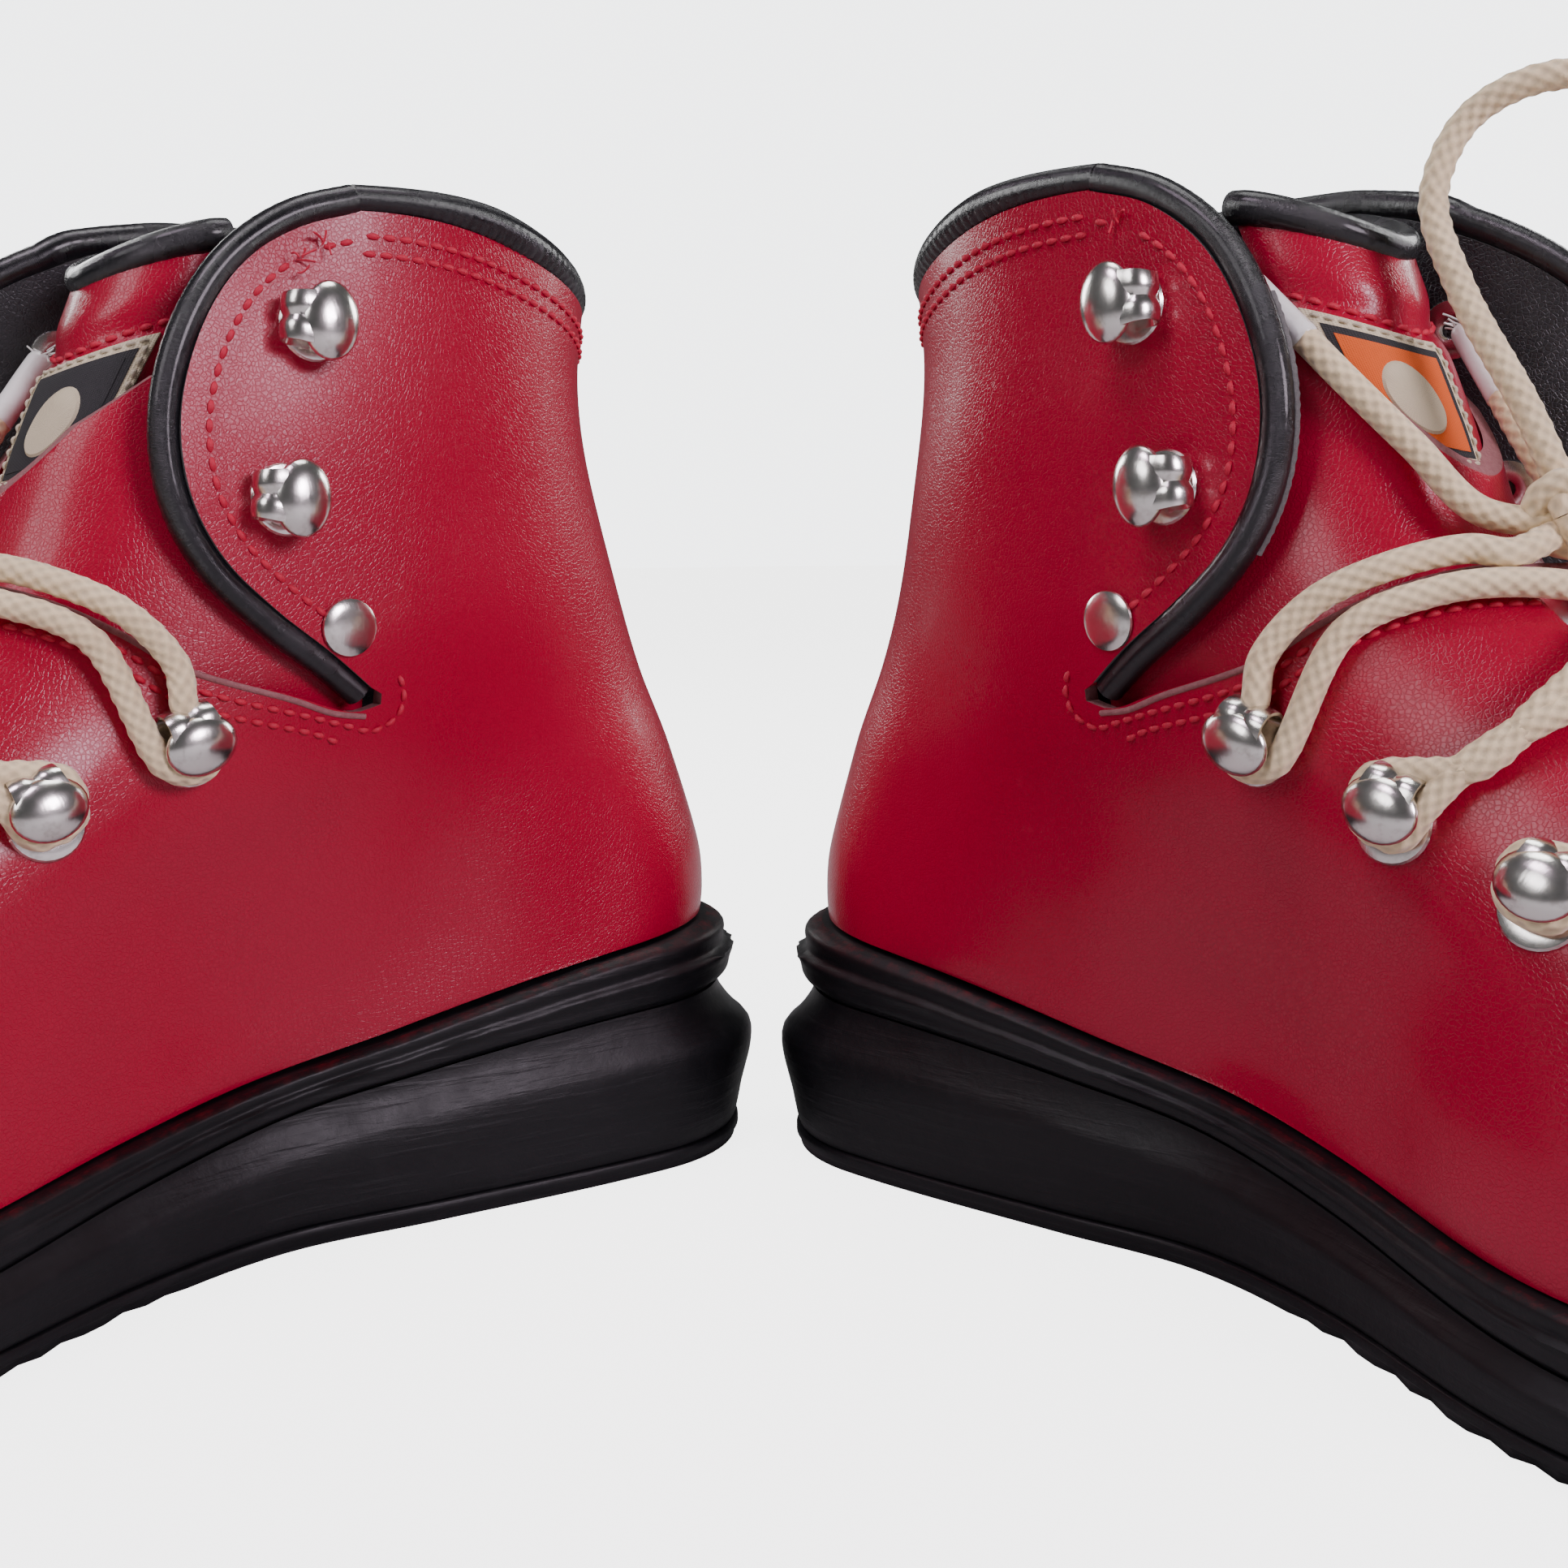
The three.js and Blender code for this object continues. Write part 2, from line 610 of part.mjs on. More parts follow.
// A lace end's tail, laid on the gusset and tucked behind a cuff flap: x, z and the height above the leather.
const tuck = {
  inner: [[148, 126, 1], [140, 137, -2], [131, 147, -2.2], [124, 155, -4.2]],
  outer: [[149, 127, 1], [144, 137, -1], [137, 147, -2.2]],
};
const tucked = (side) => tuck[side].map((place) => beside(place, side));
// Half of the bow and a tail that lie forward on the lacing: x, distance from the middle, and height.
const forwardLoop = [
  [170, 5, bowLift], [177, 7, bowLift], [186, 11, bowLift], [192, 19, bowLift], [187, 27, bowLift], [176, 28, bowLift],
  [168, 20, bowLift], [164, 12, bowLift],
];
const forward = (side) => forwardLoop.map(([x, y, lift]) => above([x, side === "inner" ? y : -y, lift]));
const forwardTail = [[170, -2, bowLift], [184, -3, bowLift], [202, -2, bowLift], [216, -1, 9], [225, 0, 4.5], [232, 0, 4]];
// Half of the bow that stands up against the tongue.
const standingLoop = [
  [152, 8, 141], [140, 6.5, 160], [134.5, 5, 174], [138, 2, 185], [148, -1, 189.5], [160, -7, 187], [168, -14, 174],
  [167, -16, 155], [162, -6, 138],
];
const places = (list) => list.map((p) => new THREE.Vector3(...p));
const laceEnds = {
  left: [
    [...places(standingLoop), knot, ...tucked("inner")],
    [...forward("outer"), knot, ...tucked("outer")],
  ],
  right: [
    [...forward("inner"), knot, ...forwardTail.map(above)],
    [...forward("outer"), knot, ...tucked("outer")],
  ],
};
// The knot with both ends of the lace, joined into one solid.
function bow(ends) {
  const ball = new THREE.SphereGeometry(1, 10, 8);
  ball.scale(knotSize.x, knotSize.y, knotSize.z);
  ball.translate(knot.x, knot.y, knot.z);
  return backToGeometry(
    ends.reduce((whole, path) => whole.add(solidOf(tube([knot, ...path], laceRadius, 6, 1))), solidOf(ball)),
  );
}
function agletOn(mesh, path) {
  const [before, tip] = [path.at(-2), path.at(-1)];
  const along = tip.clone().sub(before).normalize();
  standOn(mesh, tip.clone().addScaledVector(along, gap + aglet.length / 2), along);
}

const group = new THREE.Group();
function part(parent, name, geometry, material) {
  const mesh = new THREE.Mesh(geometry, finish[material]);
  mesh.name = name;
  parent.add(mesh);
  return mesh;
}

function boot(foot) {
  const g = new THREE.Group();
  const add = (name, geometry, material) => part(g, foot + "_" + name, geometry, material);
  add("outsole", outsole(), "rubber");
  add("wedge_midsole", wedge(), "rubber");
  add("welt", welt(), "rubber");
  add("insole", insole(), "board");
  add("upper", upper(), "leather");
  add("lining", lining(), "black");
  add("gusset", gusset(), "leather");
  add("tongue", tongue(), "leather");
  for (const side of ["inner", "outer"]) {
    add(side + "_flap", flap(side), "leather");
    add(side + "_flap_piping", piping(side), "black");
    cuffHooks[side].forEach((place, i) => {
      const on = onFlap(place, side);
      standOn(add(side + "_cuff_hook_" + (i + 1), turned(hookProfile, 7), "metal"), on.at, on.normal);
    });
    const rivet = onFlap(rivetPlace[side], side);
    standOn(add(side + "_rivet", turned(rivetProfile, 8), "metal"), rivet.at, rivet.normal);
    lowerHooks.forEach((place, i) => {
      const on = onUpper(place, side);
      standOn(add(side + "_lower_hook_" + (i + 1), turned(hookProfile, 7), "metal"), on.at, on.normal);
    });
  }
  add("lacing", lacing(), "lace");
  add("lace_bow", bow(laceEnds[foot]), "lace");
  laceEnds[foot].forEach((path, i) => {
    const tip = new THREE.CylinderGeometry(aglet.radius, aglet.radius, aglet.length, 8);
    agletOn(add("aglet_" + (i + 1), tip, "plastic"), path);
  });
  return g;
}

const turn = THREE.MathUtils.degToRad(180 + toeOut);
const right = boot("right");
right.rotation.z = turn;
right.position.set(-heelGap / 2, pairDepth, 0);
const left = new THREE.Group();
left.scale.x = -1;
const leftBoot = boot("left");
leftBoot.rotation.z = turn;
leftBoot.position.set(-heelGap / 2, pairDepth, 0);
left.add(leftBoot);
group.add(right, left);

export default group;
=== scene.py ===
# %% [markdown]
# # A pair of red leather lace-up ski boots
# Two low alpine boots stand heel to heel with their toes turned out. Each is one sheet of red leather drawn
# over a last, with a padded tongue, a cuff that opens in two flaps, lace hooks, and a rubber sole with a raised
# heel. The solid model is loaded first and gives every place. This lesson puts finer pieces where the plain ones
# are.

# %% Load the solid model
import math

import bmesh
import bpy
import numpy as np
from mathutils import Matrix, Vector


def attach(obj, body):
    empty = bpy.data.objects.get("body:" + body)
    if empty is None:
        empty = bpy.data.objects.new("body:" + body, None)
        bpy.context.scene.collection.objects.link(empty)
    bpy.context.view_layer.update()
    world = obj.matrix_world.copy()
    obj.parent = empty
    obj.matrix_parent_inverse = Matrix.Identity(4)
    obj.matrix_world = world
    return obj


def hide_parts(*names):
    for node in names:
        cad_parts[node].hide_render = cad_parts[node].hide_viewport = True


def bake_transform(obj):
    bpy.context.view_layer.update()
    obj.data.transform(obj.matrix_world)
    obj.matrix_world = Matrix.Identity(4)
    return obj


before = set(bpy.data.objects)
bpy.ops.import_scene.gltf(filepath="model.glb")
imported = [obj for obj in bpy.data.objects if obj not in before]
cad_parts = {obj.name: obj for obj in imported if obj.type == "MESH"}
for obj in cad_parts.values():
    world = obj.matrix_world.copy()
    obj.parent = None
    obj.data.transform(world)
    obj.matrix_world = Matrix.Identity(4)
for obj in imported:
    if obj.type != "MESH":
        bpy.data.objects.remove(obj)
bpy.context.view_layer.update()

# %% [markdown]
# ## The camera
# A camera is a place, three directions and a lens. Here the directions come from three small angles: it looks a
# little to the left, a little down, and is tipped by less than a degree, as a camera held in the hand is.

# %% Camera
PAIR_DEPTH = 92.92  # millimetres from the middle of the pair to the backs of the heels
YAW, PITCH, ROLL = (math.radians(a) for a in (4.559, 8.08, -0.72))
across = Vector((math.cos(YAW), math.sin(YAW), 0))
ahead = Vector((-math.sin(YAW) * math.cos(PITCH), math.cos(YAW) * math.cos(PITCH), -math.sin(PITCH)))
upward = across.cross(ahead)
across, upward = (
    across * math.cos(ROLL) + upward * math.sin(ROLL),
    upward * math.cos(ROLL) - across * math.sin(ROLL),
)
camera = bpy.data.objects.new("camera", bpy.data.cameras.new("camera"))
bpy.context.scene.collection.objects.link(camera)
camera.matrix_world = Matrix((across, upward, -ahead)).transposed().to_4x4()
camera.location = (0.03308, (PAIR_DEPTH - 382.2) / 1000, 0.12507)
camera.data.sensor_width = 36
camera.data.lens = 41.0
camera.data.clip_start = 0.01
bpy.context.scene.camera = camera

# %% [markdown]
# ## One boot's own frame
# Both boots are the same shape mirrored, so each piece is worked out once, in millimetres: x runs forward from
# the back of the sole, y towards the inner side of the foot, and z up. One function turns such points into the
# row frame, in which the two boots stand side by side.

# %% From a boot's frame to the row frame
TOE_OUT, HEEL_GAP = 43.15, 30.3
turn = math.radians(180 + TOE_OUT)
FEET, SIDES = ("right", "left"), ("inner", "outer")
UP = np.array([0, 0, 1.0])
TURNED = np.array([[math.cos(turn), -math.sin(turn), 0], [math.sin(turn), math.cos(turn), 0], [0, 0, 1]])


def to_row(points, foot):
    placed = (np.asarray(points, float) @ TURNED.T + (-HEEL_GAP / 2, PAIR_DEPTH, 0)) / 1000
    return placed * (-1, 1, 1) if foot == "left" else placed


# %% Curves through a few values
def through(pairs):
    """A smooth curve through (place, value) pairs, level at both ends."""
    t, v = np.array(pairs, float).T
    slope = np.zeros(len(t))
    slope[1:-1] = (v[2:] - v[:-2]) / (t[2:] - t[:-2])

    def value(at):
        at = np.clip(at, t[0], t[-1])
        i = np.clip(np.searchsorted(t, at, side="right") - 1, 0, len(t) - 2)
        w = t[i + 1] - t[i]
        k = (at - t[i]) / w
        step = v[i] + (v[i + 1] - v[i]) * k * k * (3 - 2 * k)
        return step + slope[i] * w * k * (1 - k) ** 2 + slope[i + 1] * w * k * k * (k - 1)

    return value


def mix(a, b, t):
    return a + (b - a) * t


def eased(t):
    """From 0 to 1 without a kink at either end."""
    return t * t * (3 - 2 * t)


def turns(steps):
    """Angles once round, evenly spread."""
    return np.linspace(0, 2 * np.pi, steps, endpoint=False)


def polar(radius, angle):
    return np.stack([radius * np.cos(angle), radius * np.sin(angle)], -1)


# %% [markdown]
# ## The surface of the leather
# The leather is described by eight closed loops, from the sole's edge to the rim. Between them every measure
# is interpolated, so a number u for the loop and an angle round it give any point of the boot. Angle 0 is the
# back. Each loop's row holds the back's x and z, the front's x and z, half the width, how far the outline is an
# oval instead of the sole's shape, how far it follows the sole's dip, and how far its middle rises.

# %% Sole outline and loops
SOLE, HEEL_ROUND, TOE_ROUND = 270, 33, 46
SOLE_WIDTH = {
    "inner": through([[0, 33], [40, 32], [80, 26.9], [108, 23], [136, 29], [172, 44], [197, 47], [270, 43]]),
    "outer": through([[0, 33], [60, 35], [100, 36], [140, 40], [180, 46], [215, 48], [270, 44]]),
}
feather_height = through([[0, 47], [45, 43], [107, 31], [165, 23.5], [225, 21.5], [270, 21.5]])
wedge_height = through([[0, 33], [43, 32], [87, 27], [128, 20], [164, 15], [200, 12.5], [270, 12]])
LOOPS = [
    [8, 47.6, 262, 22, 30, 0, 1, 0], [7.5, 61, 262, 38, 31, 0.05, 0.8, 0], [13, 82, 250, 56, 31, 0.4, 0.5, 0],
    [20, 99, 215, 76, 32, 0.8, 0.2, 0], [25.5, 116, 180, 98, 33, 1, 0, 0], [31, 138, 155, 121, 33, 1, 0, 2],
    [33, 153, 144, 145, 32.5, 1, 0, 6], [32.5, 164, 133, 168, 32, 1, 0, 12],
]
RIM = len(LOOPS) - 1
loop_values = [through([[i, row[k]] for i, row in enumerate(LOOPS)]) for k in range(8)]


def foot_width(s, side, inset):
    x = s * SOLE
    heel = np.where(x < HEEL_ROUND, 1 - np.clip(1 - x / HEEL_ROUND, 0, 1) ** 2.2, 1)
    toe = 1 - np.clip((x - SOLE + TOE_ROUND) / TOE_ROUND, 0, 1) ** 2.4
    return (SOLE_WIDTH[side](x) - inset) * np.sqrt(np.clip(heel, 0, 1)) * np.sqrt(np.clip(toe, 0, 1))


def loop_place(u, s):
    back_x, back_z, front_x, front_z, wide, oval, dip, rise = (value(u) for value in loop_values)
    sag = feather_height(s * SOLE) - mix(47, 21.5, s)
    hump = rise * np.clip(np.sin(np.pi * np.clip(s, 0, 1)), 0, 1) ** 0.8
    return mix(back_x, front_x, s), mix(back_z, front_z, s) + sag * dip + hump, wide, oval


def loop_width(u, s, side):
    _, _, wide, oval = loop_place(u, s)
    rounded = wide * np.sqrt(np.clip(1 - np.abs(2 * s - 1) ** 2.3, 0, 1))
    return mix(foot_width(s, side, 5), rounded, oval)


def skin(u, angle):
    u, angle = np.broadcast_arrays(np.asarray(u, float), np.asarray(angle, float))
    s = (1 - np.cos(angle)) / 2
    x, z, _, _ = loop_place(u, s)
    y = np.where(np.sin(angle) >= 0, loop_width(u, s, "inner"), -loop_width(u, s, "outer"))
    return np.stack([x, y, z], -1)


def unit(v):
    return v / np.maximum(np.linalg.norm(v, axis=-1, keepdims=True), 1e-9)


def skin_normal(u, angle, e=0.03):
    up = skin(np.minimum(RIM, u + e), angle) - skin(np.maximum(0, u - e), angle)
    return unit(np.cross(up, skin(u, angle + e) - skin(u, angle - e)))


def under(u, angle, depth):
    return skin(u, angle) - skin_normal(u, angle) * np.asarray(depth)[..., None]


# %% Finding a place seen from the side or from above
def find_on_skin(x, z, side):
    x, z = np.broadcast_arrays(np.asarray(x, float), np.asarray(z, float))
    low, high = np.zeros(x.shape), np.full(x.shape, float(RIM))
    for _ in range(32):
        u = (low + high) / 2
        back, front = loop_place(u, 0)[0], loop_place(u, 1)[0]
        s = np.clip((x - back) / (front - back), 0, 1)
        below = loop_place(u, s)[1] < z
        low, high = np.where(below, u, low), np.where(below, high, u)
    angle = np.arccos(1 - 2 * s)
    return (low + high) / 2, angle if side == "inner" else 2 * np.pi - angle


def find_from_above(x, y):
    side = "inner" if y >= 0 else "outer"
    share = lambda u: float((x - loop_place(u, 0)[0]) / (loop_place(u, 1)[0] - loop_place(u, 0)[0]))
    low, high = 1.0, float(RIM)
    for _ in range(32):
        u = (low + high) / 2
        s = share(u)
        low, high = (u, high) if s < 1 and loop_width(u, s, side) > abs(y) else (low, u)
    angle = math.acos(1 - 2 * min(1, share(low)))
    return low, angle if side == "inner" else 2 * math.pi - angle


def on_upper(x, z, side):
    u, angle = find_on_skin(x, z, side)
    return skin(u, angle), skin_normal(u, angle)


def above(x, y, lift):
    return under(*find_from_above(x, y), -lift)


def beside(x, z, lift, side):
    at, normal = on_upper(x, z, side)
    return at + normal * lift


# %% The flaps' own surface
HINGE = {"inner": 90, "outer": 106}
FLARE = {"inner": -0.0012, "outer": 0.012}
STRETCH = {"inner": 1, "outer": 1.3}
OUT = {"inner": 1, "outer": -1}
bend_z = np.linspace(90, 185, 96)
bend_y = {
    side: [np.abs(on_upper(np.full(96, HINGE[side] - back), bend_z, side)[0][:, 1]) for back in (0, 1)]
    for side in HINGE
}


def flap_y(x, z, side):
    """How far from the middle the flap's outer face is. It leaves the boot's surface without a kink."""
    near, behind = (np.interp(z, bend_z, y) for y in bend_y[side])
    run = np.asarray(x) - HINGE[side]
    return OUT[side] * (near + (near - behind) * run + FLARE[side] * run**2)


def on_flap(x, z, side):
    x, z = np.broadcast_arrays(np.asarray(x, float), np.asarray(z, float))
    dx = flap_y(x + 1, z, side) - flap_y(x - 1, z, side)
    dz = flap_y(x, z + 1, side) - flap_y(x, z - 1, side)
    normal = unit(np.stack([-dx / 2, np.ones_like(dx), -dz / 2], -1)) * OUT[side]
    return np.stack([x, flap_y(x, z, side), z], -1), normal


print("rim height at the back:", round(float(skin(RIM, 0)[2]), 1), "mm")

# %% [markdown]
# ## Tools for meshes
# A mesh is a list of points and of faces. Most pieces here are nets, rows of points joined into four-sided
# faces, so one helper makes the faces of a net, one sweeps an outline along a line, and one turns the lists into
# an object.


# %% Nets and objects
def net(rows, columns, wrap=False, close=False, first=0):
    """Faces of a grid of points. wrap joins the last column to the first, close the last row to the first."""
    wide, long = (columns if wrap else columns - 1), (rows if close else rows - 1)
    i, j = (a.ravel() for a in np.meshgrid(np.arange(long), np.arange(wide), indexing="ij"))
    k, n = (j + 1) % columns, (i + 1) % rows
    faces = np.stack([i * columns + j, i * columns + k, n * columns + k, n * columns + j], -1) + first
    corners = np.stack([np.stack([i, j], -1), np.stack([i, j + 1], -1), np.stack([i + 1, j + 1], -1),
                        np.stack([i + 1, j], -1)], 1) / (long, wide)
    return faces.tolist(), corners.tolist()


class Heap:
    """Points and faces gathered for one object, with a material number and UV corners for each face."""

    def __init__(self):
        self.points, self.faces, self.uvs, self.slots, self.count = [], [], [], [], 0

    def add(self, points, faces, uvs=None, slot=0):
        points = np.asarray(points, float).reshape(-1, 3)
        self.points.append(points)
        self.faces += [[v + self.count for v in face] for face in faces]
        self.uvs += uvs or [[(0, 0)] * len(face) for face in faces]
        self.slots += [slot] * len(faces)
        self.count += len(points)
        return self

    def net(self, grid, wrap=False, close=False, slot=0, size=(1, 1), caps=False):
        rows, columns = grid.shape[:2]
        faces, uvs = net(rows, columns, wrap, close)
        uvs = [[(u * size[0], v * size[1]) for u, v in corner] for corner in uvs]
        self.add(grid, faces, uvs, slot)
        if caps:
            start = self.count - rows * columns
            for first in (start, start + (rows - 1) * columns):
                self.faces.append(list(range(first, first + columns)))
                self.uvs.append([(0, 0)] * columns)
                self.slots.append(slot)
        return self

    def make(self, name, foot, materials, smooth=40):
        mesh = bpy.data.meshes.new(name)
        mesh.from_pydata(to_row(np.concatenate(self.points), foot).tolist(), [], self.faces)
        layer = mesh.uv_layers.new(name="UVMap")
        layer.data.foreach_set("uv", [x for face in self.uvs for corner in face for x in corner])
        for material in materials:
            mesh.materials.append(material)
        mesh.polygons.foreach_set("material_index", self.slots)
        tidy = bmesh.new()
        tidy.from_mesh(mesh)
        bmesh.ops.recalc_face_normals(tidy, faces=tidy.faces)
        tidy.to_mesh(mesh)
        tidy.free()
        obj = bpy.data.objects.new(name, mesh)
        bpy.context.scene.collection.objects.link(obj)
        soften(obj, smooth)
        return obj


def solid(name, foot, grid, *materials, smooth=60, size=(1, 1)):
    """One object from one net whose columns close and whose ends have caps."""
    return Heap().net(grid, wrap=True, caps=True, size=size).make(name, foot, materials, smooth)


def soften(obj, degrees):
    obj.data.polygons.foreach_set("use_smooth", [True] * len(obj.data.polygons))
    obj.data.set_sharp_from_angle(angle=math.radians(degrees))


# %% Lines and sweeps
def line_through(points, step):
    """A smooth line through the points, by way of centripetal Catmull-Rom pieces, with a point every step."""
    p = np.asarray(points, float)
    p = np.vstack([2 * p[0] - p[1], p, 2 * p[-1] - p[-2]])
    fine = []
    for a, b, c, d in zip(p, p[1:], p[2:], p[3:]):
        da, db, dc = (max(1e-4, np.linalg.norm(q - r)) ** 0.5 for q, r in ((b, a), (c, b), (d, c)))
        start = ((b - a) / da - (c - a) / (da + db) + (c - b) / db) * db
        end = ((c - b) / db - (d - b) / (db + dc) + (d - c) / dc) * db
        t = np.linspace(0, 1, 24, endpoint=False)[:, None]
        square, cube = 3 * (c - b) - 2 * start - end, 2 * (b - c) + start + end
        fine.append(b + start * t + square * t**2 + cube * t**3)
    fine = np.vstack(fine + [p[-2]])
    far = np.concatenate([[0], np.cumsum(np.linalg.norm(np.diff(fine, axis=0), axis=1))])
    steps = np.linspace(0, far[-1], max(2, round(far[-1] / step) + 1))
    return np.stack([np.interp(steps, far, fine[:, k]) for k in range(3)], -1)


def directions(line, up=None):
    """For each point of a line: the way on, and two directions square to it, the second guided by up if given."""
    ahead = unit(np.gradient(line, axis=0))
    if up is not None:
        side = unit(np.cross(ahead, up))
        return ahead, side, np.cross(side, ahead)
    side = np.zeros_like(line)
    guess = np.cross(ahead[0], (0.3, 0.2, 0.9))
    for i, a in enumerate(ahead):
        guess = unit(guess - a * np.dot(guess, a))
        side[i] = guess
    return ahead, side, np.cross(side, ahead)


def swept(line, outline, up=None):
    """The grid of points of an outline, one for all or one for each point, carried along a line."""
    _, side, top = directions(line, up)
    outline = np.broadcast_to(outline, (len(line),) + np.shape(outline)[-2:])
    return line[:, None] + outline[..., :1] * side[:, None] + outline[..., 1:] * top[:, None]


def ring(radius, sides, squash=1.0):
    return polar(radius, turns(sides)) * (1, squash)


def run_of(line):
    return np.concatenate([[0], np.cumsum(np.linalg.norm(np.diff(line, axis=0), axis=1))])


DENT_SIZE, DENT_HEIGHT, WAVES = 55, 0.5, 14


def dents(points, foot):
    """Soft random hollows and swellings for hand-drawn leather: a sum of long waves in random directions."""
    seed = {"right": 3, "left": 8}[foot]
    rng = np.random.default_rng(seed + DENT_SIZE)
    total = 0
    for _ in range(WAVES):
        way = unit(rng.normal(size=3)) / DENT_SIZE * rng.uniform(0.6, 1.6)
        total = total + np.sin(points @ way * 2 * np.pi + rng.uniform(0, 6.3))
    return total / WAVES**0.5 * DENT_HEIGHT


print("tools ready")

# %% [markdown]
# ## Writing shaders as sums
# A material is a small network of nodes. Sums are easier to read than wires, so one class wraps a node's
# output and gives it plus, minus and times, each of which adds a Math node. Any other node comes from one method.


# %% The wire class
class Wire:
    def __init__(self, socket):
        self.socket = socket

    @classmethod
    def node(cls, tree, kind, settings=None, inputs=None, out=0):
        made = tree.nodes.new(kind)
        for key, value in (settings or {}).items():
            if key == "stops":
                ramp = made.color_ramp
                while len(ramp.elements) < len(value):
                    ramp.elements.new(0.5)
                for element, (place, shade) in zip(ramp.elements, value):
                    element.position, element.color = place, (shade, shade, shade, 1)
            else:
                setattr(made, key, value)
        for key, value in (inputs or {}).items():
            if isinstance(value, Wire):
                tree.links.new(value.socket, made.inputs[key])
            else:
                made.inputs[key].default_value = value
        return cls(made.outputs[out])

    def math(self, operation, other=0.0, swap=False):
        pair = {0: other, 1: self} if swap else {0: self, 1: other}
        return Wire.node(self.socket.id_data, "ShaderNodeMath", {"operation": operation}, pair)

    def __add__(self, other):
        return self.math("ADD", other)

    def __sub__(self, other):
        return self.math("SUBTRACT", other)

    def __rsub__(self, other):
        return self.math("SUBTRACT", other, swap=True)

    def __mul__(self, other):
        return self.math("MULTIPLY", other)

    __radd__, __rmul__ = __add__, __mul__

    def clipped(self, low, high):
        """0 below low, 1 above high, and a straight climb between them."""
        return Wire.node(self.socket.id_data, "ShaderNodeMapRange", {}, {0: self, 1: low, 2: high})


# %% Patterns that several finishes use
class Paint:
    """One material being made: its tree and the patterns it is painted from."""

    def __init__(self, name):
        self.material = bpy.data.materials.new(name)
        self.material.use_nodes = True
        self.tree = self.material.node_tree
        self.shader = self.tree.nodes["Principled BSDF"]
        self.place = self.node("ShaderNodeTexCoord", out=3)
        self.cloth = self.node("ShaderNodeTexCoord", out=2)

    def node(self, kind, settings=None, inputs=None, out=0):
        return Wire.node(self.tree, kind, settings, inputs, out)

    def noise(self, scale, detail=3, at=None, roughness=0.5):
        sockets = {"Vector": at or self.place, "Scale": scale, "Detail": detail, "Roughness": roughness}
        return self.node("ShaderNodeTexNoise", {}, sockets)

    def cracks(self, scale):
        """Cells, as a value that falls to 0 at their edges."""
        sockets = {"Vector": self.place, "Scale": scale}
        return self.node("ShaderNodeTexVoronoi", {"feature": "DISTANCE_TO_EDGE"}, sockets)

    def stretched(self, x, y, z=1, of=None):
        sockets = {0: of or self.place, 1: (x, y, z)}
        return self.node("ShaderNodeVectorMath", {"operation": "MULTIPLY"}, sockets)

    def blend(self, share, a, b):
        colours = {key: c if isinstance(c, Wire) else (*c, 1) for key, c in ((6, a), (7, b))}
        return self.node("ShaderNodeMix", {"data_type": "RGBA"}, {0: share, **colours}, out=2)

    def bump(self, height, depth, strength=1.0, under=None):
        sockets = {"Height": height, "Distance": depth, "Strength": strength}
        if under:
            sockets["Normal"] = under
        return self.node("ShaderNodeBump", {}, sockets)

    def done(self, **sockets):
        for key, value in sockets.items():
            socket = self.shader.inputs[key.replace("_", " ")]
            if isinstance(value, Wire):
                self.tree.links.new(value.socket, socket)
            elif key == "Base_Color":
                socket.default_value = (*value, 1)
            else:
                socket.default_value = value
        return self.material


# %% [markdown]
# ## Red leather
# Smooth-grain leather is a coloured skin under a thin clear finish. The colour is never even: it is deeper where
# dye gathered and paler where it was pulled over the last. The grain is a net of tiny cells with fine creases
# between, so the bump comes from small cells over soft noise, and the gloss breaks up a little with the same
# patterns. Where the leather is cut, its raw edge is paler and fibrous, so that is a second material.


# %% Red leather
def red_leather(name="red_leather", light=(0.41, 0.0005, 0.032), deep=(0.25, 0.0003, 0.015), gloss=0.27):
    p = Paint(name)
    cloudy = p.noise(26, 4)
    blotch = p.noise(75, 3).clipped(0.35, 0.7)
    grain = p.cracks(1400).clipped(0.0, 0.16)
    fine = p.noise(2600, 2)
    scuffs = p.noise(190, 5, roughness=0.75).clipped(0.63, 0.72)
    tone = p.blend(0.78 + cloudy * 0.3, deep, light)
    tone = p.blend(blotch * 0.05, tone, deep)
    tone = p.blend((1 - grain) * 0.3, tone, deep)
    tone = p.blend(scuffs * 0.08, tone, (0.55, 0.06, 0.08))
    soft = p.bump(cloudy + p.noise(110, 2) * 0.2, 0.0004, 0.4)
    normal = p.bump(grain * 0.7 + fine * 0.5, 0.0001, 0.42, soft)
    rough = gloss + cloudy * 0.1 + scuffs * 0.1 - grain * 0.04
    return p.done(Base_Color=tone, Roughness=rough, Normal=normal, Coat_Weight=0.28,
                  Coat_Roughness=0.18, Coat_IOR=1.45, Specular_IOR_Level=0.35)


def raw_edge():
    p = Paint("raw_leather_edge")
    fibre = p.noise(900, 5, roughness=0.8)
    return p.done(Base_Color=p.blend(fibre, (0.14, 0.02, 0.03), (0.45, 0.22, 0.22)), Roughness=0.9,
                  Normal=p.bump(fibre, 0.0003, 0.8))


RED, RAW = red_leather(), raw_edge()
print("red leather:", len(RED.node_tree.nodes), "nodes")

# %% [markdown]
# ## Black trim, lining and felt
# The piping is a thin glossy leather rolled round a cord, so it puckers across its length. The lining is a smooth
# black leather, matt with wear, and its raw edge at the front of the cuff shows a grey felt.


